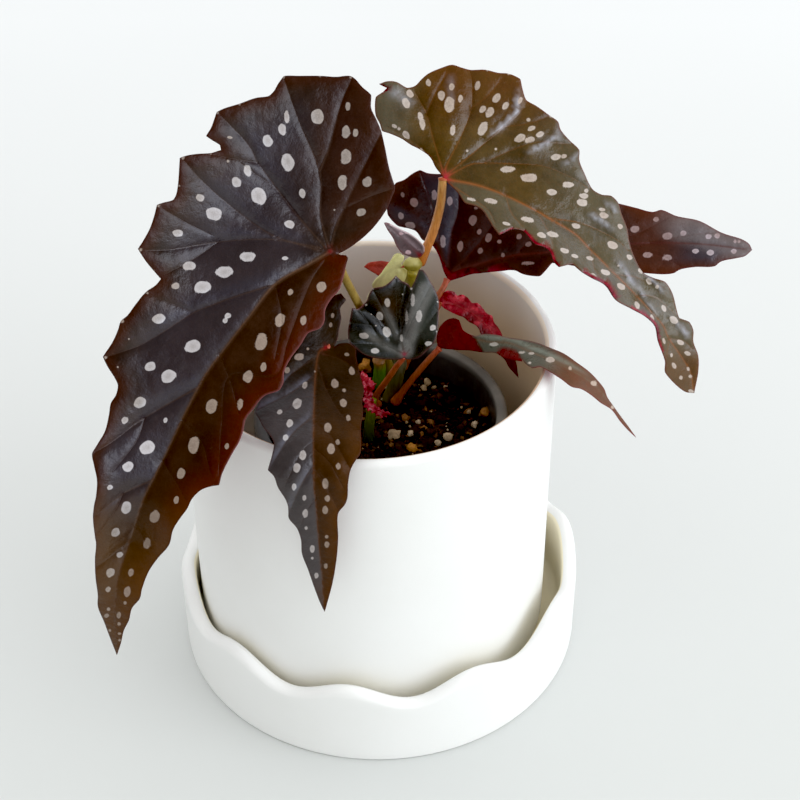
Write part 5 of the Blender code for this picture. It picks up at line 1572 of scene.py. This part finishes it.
    ob = lathe("nursery_body", prof, 192, [PLASTIC], x=NURSERY_X, warp=ribs, closed=False)
    cutters = []
    for i in range(4):
        a = math.radians(45 + 90 * i)
        me = bpy.data.meshes.new("drain")
        bm = bmesh.new()
        bmesh.ops.create_cone(bm, cap_ends=True, segments=28, radius1=4 * MM, radius2=4 * MM,
                              depth=8 * MM)
        bm.to_mesh(me)
        bm.free()
        c = bpy.data.objects.new("drain", me)
        c.location = ((NURSERY_X + 19 * math.cos(a)) * MM, 19 * MM * math.sin(a), (z0 + 0.6) * MM)
        scene.collection.objects.link(c)
        mod = ob.modifiers.new("cut", "BOOLEAN")
        mod.object = c
        mod.solver = "EXACT"
        cutters.append(c)
    me = settled(ob)
    ob.modifiers.clear()
    if len(me.polygons) > 0.9 * len(ob.data.polygons):
        ob.data = me
    for c in cutters:
        bpy.data.objects.remove(c, do_unlink=True)
    finish_piece(ob, ("nursery_pot",))
    return inner


# ------------------------------------------------------------------ soil
def lump_shape(kind):
    bm = bmesh.new()
    bmesh.ops.create_icosphere(bm, subdivisions=kind, radius=1.0)
    v = np.array([tuple(x.co) for x in bm.verts])
    f = [tuple(x.index for x in fc.verts) for fc in bm.faces]
    bm.free()
    return v, f


def lumps(name, items, kind, mat, rough=0.28, smooth=True):
    """items: (centre, (sx, sy, sz), turn about z, tilt, tone)."""
    base, faces = lump_shape(kind)
    vs, fs, tones = [], [], []
    for n, (c, s, turn, tilt, tone) in enumerate(items):
        v = base.copy()
        k = np.array([noise.noise(Vector((p[0] * 1.4 + n * 3.7, p[1] * 1.4, p[2] * 1.4 - n)))
                      for p in v])
        v *= (1 + rough * 1.6 * k)[:, None]
        v *= np.array(s)
        ct, st = math.cos(tilt), math.sin(tilt)
        v = v @ np.array([[1, 0, 0], [0, ct, st], [0, -st, ct]])
        cr, sr = math.cos(turn), math.sin(turn)
        v = v @ np.array([[cr, sr, 0], [-sr, cr, 0], [0, 0, 1]])
        off = len(vs) * len(base)
        vs.append(v + np.array(c))
        fs += [tuple(i + off for i in f) for f in faces]
        tones.append(np.full(len(base), tone))
    ob = mesh_object(name, np.vstack(vs), fs, [mat], smooth=smooth,
                     attrs={"tone": np.concatenate(tones)})
    finish_piece(ob, ())
    return ob


def soil_z(x, y):
    """Height of the ground, mm, at a point given from the nursery pot's axis."""
    r = np.hypot(x, y)
    z = SOIL_TOP + 1.2 - 2.4 * (r / 38.5) ** 2
    return z


def build_soil(inner):
    rings, steps = 46, 150
    rmax = inner(SOIL_TOP - 1.5) - 0.3
    vs = [(0.0, 0.0, soil_z(0, 0))]
    for i in range(1, rings + 1):
        r = rmax * i / rings
        for j in range(steps):
            a = 2 * math.pi * (j + 0.5 * (i % 2)) / steps
            x, y = r * math.cos(a), r * math.sin(a)
            z = soil_z(x, y)
            fade = 1 - (i / rings) ** 8
            z += fade * (0.55 * noise.noise(Vector((x / 6, y / 6, 1.0)))
                         + 0.75 * noise.noise(Vector((x / 2.2, y / 2.2, 5.0)))
                         + 0.35 * noise.noise(Vector((x / 0.9, y / 0.9, 9.0))))
            vs.append((x, y, z))
    fs = [(0, 1 + j, 1 + (j + 1) % steps) for j in range(steps)]
    for i in range(rings - 1):
        a, b = 1 + i * steps, 1 + (i + 1) * steps
        for j in range(steps):
            k = (j + 1) % steps
            fs.append((a + j, b + j, b + k, a + k))
    last = 1 + (rings - 1) * steps
    low = NURSERY_Z0 + NURSERY_WALL + 0.3
    for z in (60.0, 35.0, low):
        r = (inner(z) - 0.3) if z > low else inner(low) - 2.6
        start = len(vs)
        for j in range(steps):
            a = 2 * math.pi * (j + 0.5 * (rings % 2)) / steps
            vs.append((r * math.cos(a), r * math.sin(a), z))
        for j in range(steps):
            k = (j + 1) % steps
            fs.append((last + j, start + j, start + k, last + k))
        last = start
    c = len(vs)
    vs.append((0, 0, low))
    fs += [(last + (j + 1) % steps, last + j, c) for j in range(steps)]
    vs = np.array(vs) + np.array([NURSERY_X, 0, 0])
    tone = np.array([0.5 + 0.9 * noise.noise(Vector((v[0] / 4, v[1] / 4, 2.0))) for v in vs])
    ob = mesh_object("soil_body", vs, fs, [SOIL], attrs={"tone": np.clip(tone, 0, 1)})
    finish_piece(ob, ("potting_soil",))

    rnd = random.Random(77)

    def scatter(n, size, flat, tone, rlim=37.6, lift=0.25, stretch=1.0):
        out = []
        while len(out) < n:
            r, a = rlim * math.sqrt(rnd.random()), rnd.uniform(0, 2 * math.pi)
            s = size()
            if r + s * stretch > 38.0:
                continue
            x, y = r * math.cos(a), r * math.sin(a)
            out.append(((NURSERY_X + x, y, soil_z(x, y) + lift * s),
                        (s * rnd.uniform(0.9, 1.2) * stretch, s * rnd.uniform(0.65, 1.0),
                         s * flat * rnd.uniform(0.7, 1.1)),
                        rnd.uniform(0, 6.3), rnd.uniform(-0.6, 0.6), tone()))
        return out

    lumps("soil_crumbs", scatter(3000, lambda: rnd.uniform(0.28, 1.0) ** 1.4 * 1.25,
                                 0.8, lambda: rnd.random() ** 2.2), 1, CRUMB, 0.35, smooth=False)
    bark = scatter(260, lambda: rnd.uniform(0.5, 1.45), 0.5,
                   lambda: rnd.random() ** 3 * 0.85, lift=0.3, stretch=1.5)
    perl = scatter(120, lambda: 0.3 + 0.75 * rnd.random() ** 2, 0.85,
                   lambda: rnd.random(), lift=0.45)

    def put(lst, u, v, w, h, tone, z=89.6, turn=0.0):
        p = seen_z(u, v, z)
        k = 0.345
        lst.append(((p[0], p[1], p[2]), (0.5 * w * k, 0.62 * h * k, 0.42 * h * k + 0.3), turn, 0.3,
                    tone))

    put(perl, 394, 435, 14, 10, 0.62, turn=0.6)
    put(perl, 410.5, 433.5, 6.5, 6, 0.9)
    put(perl, 448, 437, 10, 8, 0.75, turn=-0.5)
    put(perl, 438, 443, 7, 5, 0.85)
    put(perl, 427.5, 382, 8, 7, 0.30, z=90.2)
    put(perl, 424, 388, 7, 5, 0.45, z=90.0)
    put(perl, 474.5, 424.5, 6.5, 6.5, 0.95)
    put(perl, 469, 412, 4, 4, 0.5)
    put(perl, 420, 404, 3, 3, 0.6)
    put(bark, 412, 448, 12, 8, 1.0)
    put(bark, 485, 413, 11, 9, 0.86, turn=0.7)
    put(bark, 405, 418, 8, 7, 0.80, turn=0.3)
    put(bark, 365, 366, 13, 13, 0.97, z=92.0)
    put(bark, 386, 428, 14, 9, 0.35, turn=-0.4)
    put(bark, 420, 404, 15, 8, 0.30, turn=0.3)
    put(bark, 452, 401, 17, 9, 0.22, turn=0.25)
    put(bark, 440, 420, 14, 8, 0.28, turn=-0.3)
    put(bark, 376, 436, 12, 9, 0.40)
    put(bark, 461, 428, 10, 7, 0.35)
    put(bark, 430, 432, 9, 6, 0.45)
    lumps("soil_bark_bits", bark, 2, BARK, 0.42)
    lumps("soil_perlite_bits", perl, 2, PERLITE, 0.34)


# ------------------------------------------------------------------ stems, stalks, stipules
GREENISH = stalk_mat("stem_skin", [(0.0, (0.48, 0.40, 0.050)), (0.12, (0.36, 0.30, 0.045)),
                                   (0.30, (0.14, 0.15, 0.06)), (0.62, (0.17, 0.17, 0.10)),
                                   (0.76, (0.085, 0.070, 0.012)), (1.0, (0.070, 0.050, 0.009))],
                     (0.07, 0.055, 0.02))
SHOOT = stalk_mat("shoot_skin", [(0.0, (0.17, 0.22, 0.010)), (0.45, (0.085, 0.105, 0.005)),
                                 (1.0, (0.022, 0.030, 0.003))], (0.05, 0.045, 0.005))
VIVID = stalk_mat("vivid_shoot_skin", [(0.0, (0.34, 0.15, 0.045)), (0.3, (0.12, 0.23, 0.017)),
                                       (1.0, (0.055, 0.13, 0.008))], (0.03, 0.06, 0.004))
P_ORANGE = stalk_mat("petiole_orange_skin", [(0.0, (0.42, 0.08, 0.030)), (0.06, (0.46, 0.24, 0.060)),
                                             (0.5, (0.56, 0.25, 0.060)), (0.85, (0.72, 0.28, 0.075)),
                                             (1.0, (0.50, 0.16, 0.030))], (0.34, 0.10, 0.018))
P_RED = stalk_mat("petiole_red_skin", [(0.0, (0.52, 0.10, 0.050)), (0.4, (0.44, 0.125, 0.045)),
                                       (1.0, (0.40, 0.110, 0.034))], (0.22, 0.030, 0.010))
P_OLIVE = stalk_mat("petiole_olive_skin", [(0.0, (0.36, 0.25, 0.065)), (0.5, (0.36, 0.26, 0.070)),
                                           (1.0, (0.18, 0.145, 0.028))], (0.20, 0.095, 0.020))
STIPULE = tone_mat("stipule_skin", [(0.0, (0.42, 0.36, 0.060)), (0.5, (0.70, 0.67, 0.29)),
                                    (1.0, (0.82, 0.79, 0.38))], rough=0.42, scale=500.0,
                   bump=0.0003, spec=0.5, dirt=0.24)


def stalk(name, path, r0, r1, mat, replaces, flare0=0.25, flare1=0.5, rings=70, sides=22,
          bumps=0.03, seed=0):
    def radius(t):
        return ((r0 + (r1 - r0) * t) * (1 + flare0 * math.exp(-(t / 0.06) ** 2)
                                        + flare1 * math.exp(-((1 - t) / 0.09) ** 2)))
    ob = tube(name, path, radius, [mat], rings=rings, sides=sides, bumps=bumps, seed=seed)
    finish_piece(ob, replaces)
    return ob


def build_stems():
    path = [seen1(413, 270, 14.0), seen1(411, 281, 15.0), seen1(407, 300, 15.0),
            seen1(401, 335, 15.5), seen1(396.5, 375, 16.5), seen1(391, 402, 17.0)]
    foot = path[-1]
    path.append(np.array([foot[0] - 0.3, foot[1] + 0.2, 84.0]))

    def stem_r(t):
        r = 2.0 + 1.0 * t
        for at, h, w in ((0.02, 0.25, 0.05), (0.34, 0.45, 0.018), (0.62, 0.5, 0.02),
                         (0.80, 0.7, 0.03)):
            r += h * math.exp(-((t - at) / w) ** 2)
        return r

    ob = tube("main_stem_body", path, stem_r, [GREENISH], rings=110, sides=28, bumps=0.05, seed=3)
    finish_piece(ob, ("main_stem",))
    stalk("side_stem_body", [seen1(372, 399, -2.6), seen1(371, 414, -4.0), seen1(369, 430, -5.0),
                             np.array([*(seen1(369, 430, -5.0)[:2]), 84.0])],
          1.5, 2.1, SHOOT, ("side_stem",), 0.1, 0.35, seed=4)
    # a short vivid green shoot in front of the stem, no more than a stub
    p = seen1(379, 360, 9.0)
    stalk("short_shoot", [p, seen1(380, 368, 9.6), seen1(379, 377, 10.0), seen1(378, 386, 10.0)],
          2.0, 2.3, VIVID, (), 0.15, 0.0, rings=40, seed=5)
    stalk("petiole_left_stalk", [seen1(333, 251.5, -20, 1.2), seen1(337, 259, -17.5),
                                 seen1(345, 278, -10), seen1(360, 307, 1), seen1(375, 335, 7),
                                 seen1(386, 357, 10.5), seen1(390, 372, 13.2)],
          1.28, 1.5, P_OLIVE, ("petiole_left",), 0.15, 0.45, seed=6)
    stalk("petiole_right_upper_stalk",
          [seen1(443, 178.5, 10.0, 1.2), seen1(442.3, 186, 10.6), seen1(441, 201, 11.5),
           seen1(436.5, 221, 12.5), seen1(430, 240, 13), seen1(419.5, 262, 14.8)],
          1.30, 1.62, P_ORANGE, ("petiole_right_upper",), 0.2, 0.30, seed=7)
    stalk("petiole_rear_stalk", [seen1(447, 279.5, 25, 0.8), seen1(443, 288, 23.4),
                                 seen1(437, 297, 21.8), seen1(425, 312, 20),
                                 seen1(409, 334, 18.2)],
          0.98, 1.2, P_RED, ("petiole_rear",), 0.3, 0.4, seed=8)
    stalk("petiole_centre_stalk", [seen1(404.5, 356.5, -8, 0.8), seen1(401, 361, -6.8),
                                   seen1(396, 367, -5), seen1(387, 380, -1), seen1(379, 391, 3),
                                   seen1(373.5, 400.5, 6.2)],
          0.9, 1.15, P_RED, ("petiole_centre",), 0.25, 0.3, seed=9)
    stalk("petiole_front_stalk", [seen1(326.5, 346.5, -20, 0.8), seen1(333, 353, -17),
                                  seen1(343, 364, -12), seen1(358, 381, -1), seen1(370, 396, 9),
                                  seen1(378, 405, 13.0)],
          1.0, 1.2, P_RED, ("petiole_front",), 0.25, 0.3, seed=10)
    stalk("petiole_right_lower_stalk", [seen1(439.5, 348.5, 7.9, 0.8), seen1(434, 354, 8.3),
                                        seen1(425, 364, 9), seen1(410, 382, 10.5),
                                        seen1(395, 402, 12.6)],
          0.98, 1.18, P_RED, ("petiole_right_lower",), 0.3, 0.5, seed=11)
    stalk("petiole_inner_stalk", [seen1(440.5, 302, 26, 0.6), seen1(436, 311, 25),
                                  seen1(430, 322, 24), seen1(416, 345, 22),
                                  seen1(403, 368, 19.6)],
          0.85, 1.05, P_RED, ("petiole_inner",), 0.3, 0.4, seed=12)


def scale_piece(name, outline, depth, rib, seed, replaces, extra, tone, pleat=1.0):
    """A stipule: a thin pale sheet with a tone over it, given as seen from the camera, that holds painted
    light and shade.
    """
    leaf(name, outline, depth, rib[0], rib, (), (), (), (), pitch=1.6, pleat=pleat, pleat_w=4.5,
         curl=0.3, curl_w=1.8, waves=0.25, mats=(STIPULE, STIPULE, STIPULE),
         seed=seed, vein_w=0.6, replaces=replaces, reach=8.0, thick=0.32, extra=extra, fine=0.04,
         step=1.0)
    me = bpy.data.objects[name].data
    co = np.array([tuple(v.co) for v in me.vertices]) / MM
    d = co - EYE
    z = d @ FWD
    u = MID + FOCAL * (d @ RIGHT) / z
    v = MID - FOCAL * (d @ UP) / z
    a = me.attributes.new("tone", "FLOAT", "POINT")
    a.data.foreach_set("value", np.clip(tone(u, v), 0, 1).astype(np.float32))


def build_stipules():
    sheath = [(373, 289), (372, 285), (375, 280), (380, 275), (385, 268), (388, 264), (391, 260),
              (394, 255), (397, 253.5), (400, 253.5), (404, 256), (403.5, 260), (401, 263.5),
              (403, 267), (407, 270.5), (406, 276), (404, 281), (400, 287), (392, 292),
              (384, 298), (376, 304), (369, 304), (367, 300), (369, 294)]
    sheath_y = [(373, 284, 5), (395, 256, 7), (404, 262, 8.5), (406, 272, 9.5), (402, 280, 9),
                (380, 300, 5), (368, 300, 4)]

    def bowl(q, d_edge, d_mid, along, side, r):
        return -1.3 * np.exp(-(d_mid / 5.0) ** 2) + 0.5 * (side > 0) * smooth01(d_mid / 6)

    # painted shade: a dark line along the fold; the tone is also darker over the upper right and lighter
    # toward the left edge
    def tone_a(u, v):
        line = (u - 400) * 0.80 + (v - 266) * 0.60
        t = 0.92 - 0.70 * smooth01((line + 3) / 9) * (v < 284)
        edge = smooth01((390 - u) / 14) * 0.35
        fold = 0.45 * np.exp(-((line + 9) / 2.2) ** 2)
        return t + edge - fold

    scale_piece("stipule_large_sheet", sheath, sheath_y,
                [(405, 272), (399, 268), (391, 273), (383, 282), (375, 292)], 51,
                ("stipule_large",), bowl, tone_a, pleat=0.9)
    hood = [(400.5, 268), (402, 265), (405, 260.5), (409, 257.6), (413, 256.8), (417, 257.8),
            (420.5, 260.5), (422, 264), (420.5, 268), (417, 271), (412, 270.5), (409, 271.5),
            (405, 271)]
    hood_y = [(401, 267, 11), (411, 257, 12), (421, 262, 12.5), (418, 270, 11), (408, 271, 10.5)]

    def cap(q, d_edge, d_mid, along, side, r):
        c = np.hypot((q[:, 0] - 412) / 9.5, (q[:, 1] - 263.5) / 6.5)
        cleft = np.exp(-((q[:, 1] - 268.2 + 0.10 * (q[:, 0] - 410)) / 1.1) ** 2)
        return 2.3 * np.sqrt(np.clip(1 - c ** 2, 0, 1)) - 0.7 * cleft * (q[:, 0] < 416)

    # painted light and shade: the cap lighter on top, darker below and at its right end
    def cap_light_and_shade(u, v):
        return 0.20 + 0.34 * smooth01((262 - v) / 5) - 0.5 * smooth01((v - 265) / 4) \
            - 0.3 * smooth01((u - 417) / 4)

    scale_piece("stipule_hood_cap", hood, hood_y, [(402, 267), (408, 264), (414, 262), (420, 263)],
                52, ("stipule_hood",), cap, cap_light_and_shade, pleat=0.2)
    # its red point
    tip, nt, b = new_mat("hood_tip")
    k = Nodes(nt)
    k.link(k.mix(k.ramp(k.noise(900.0), 0.35, 0.65), (0.30, 0.008, 0.010), (0.42, 0.04, 0.02)),
           b.inputs["Base Color"])
    k.link(k.bump(k.noise(1500.0), 0.3, 0.0002), b.inputs["Normal"])
    ob = tube("hood_point", [seen1(403.6, 266.6, 9.4), seen1(402.2, 267.0, 9.2),
                             seen1(400.6, 267.4, 9.0)], lambda t: 0.42 * (1 - 0.85 * t), [tip],
              rings=14, sides=12)
    finish_piece(ob, ())


inner_wall = build_turned()
build_soil(inner_wall)
build_stems()
build_stipules()

# ------------------------------------------------------------------ stage and light
floor = bpy.data.meshes.new("floor")
floor.from_pydata([(-4, -4, -5e-5), (4, -4, -5e-5), (4, 4, -5e-5), (-4, 4, -5e-5)], [],
                  [(0, 1, 2, 3)])
fm, fnt, fb = new_mat("floor")
fkn = Nodes(fnt)
sx = fnt.nodes.new("ShaderNodeSeparateXYZ")
fnt.links.new(fkn.coords(), sx.inputs[0])
# painted shade: the floor darker toward the front (-Y) and lighter toward the back; the noise gives soft
# random patches
tone = fkn.mix(fkn.ramp(sx.outputs[1], -0.12, 0.50), (0.624, 0.642, 0.628), (0.792, 0.808, 0.814))
fkn.link(fkn.mix(fkn.ramp(fkn.noise(3.0, 3.0), 0.3, 0.7, 0.0, 0.22), tone, (0.705, 0.722, 0.716)),
         fb.inputs["Base Color"])
fb.inputs["Roughness"].default_value = 0.7
fb.inputs["Specular IOR Level"].default_value = 0.2
floor.materials.append(fm)
floor_ob = bpy.data.objects.new("floor", floor)
scene.collection.objects.link(floor_ob)


def area(name, loc, target, size, power, colour):
    li = bpy.data.lights.new(name, "AREA")
    li.shape = "SQUARE"
    li.size = size
    li.energy = power
    li.color = colour
    ob = bpy.data.objects.new(name, li)
    ob.location = loc
    d = Vector(target) - Vector(loc)
    ob.rotation_euler = d.to_track_quat("-Z", "Y").to_euler()
    scene.collection.objects.link(ob)
    return ob


area("window", (1.46, -0.68, 0.62), (0, 0, 0.1), 1.2, 12.0, (0.93, 0.97, 1.0))

w = bpy.data.worlds.new("world")
scene.world = w
w.use_nodes = True
nt = w.node_tree
nt.nodes.clear()
out = nt.nodes.new("ShaderNodeOutputWorld")
bg = nt.nodes.new("ShaderNodeBackground")
nt.links.new(bg.outputs[0], out.inputs[0])
wk = Nodes(nt)
tc = nt.nodes.new("ShaderNodeTexCoord").outputs["Generated"]
sep = nt.nodes.new("ShaderNodeSeparateXYZ")
nt.links.new(tc, sep.inputs[0])
x, y, z = sep.outputs
side = wk.ramp(x, -1.0, 1.0, 0.0, 1.0)
soft = wk.mix(side, (0.57, 0.57, 0.555), (0.88, 0.89, 0.89))
soft = wk.mix(wk.ramp(y, -0.2, 1.0, 0.0, 0.5), soft, (0.98, 0.98, 0.98))
soft = wk.mix(wk.ramp(z, 0.30, 0.92, 0.0, 1.0, smooth=True), soft, (1.39, 1.40, 1.40))
# shiny things see a dim room with its brightness to the right and, less, behind
low = wk.ramp(z, 0.32, 0.74, 1.0, 0.0, smooth=True)
lobe = wk.math("MULTIPLY", wk.ramp(x, 0.08, 0.80, 0.0, 1.0, smooth=True), low)
gl = wk.mix(lobe, (0.040, 0.034, 0.032), (1.40, 1.58, 2.10))
behind = wk.math("MULTIPLY", wk.ramp(y, 0.15, 0.8, 0.0, 0.6, smooth=True), wk.ramp(z, 0.4, 0.9, 1.0, 0.4))
gl = wk.mix(behind, gl, (0.72, 0.76, 0.80))
lp = nt.nodes.new("ShaderNodeLightPath")
col = wk.mix(lp.outputs["Is Glossy Ray"], soft, gl)
col = wk.mix(lp.outputs["Is Camera Ray"], col, (0.90, 0.93, 0.935))
nt.links.new(col, bg.inputs["Color"])
bg.inputs["Strength"].default_value = 1.0

scene.view_settings.view_transform = "Standard"
scene.view_settings.look = "None"
scene.view_settings.exposure = 0.0
scene.view_settings.gamma = 1.0
scene.view_settings.use_curve_mapping = True          # a deeper black, as in the photograph
curve = scene.view_settings.curve_mapping
curve.black_level = (0.010, 0.010, 0.010)
curve.update()
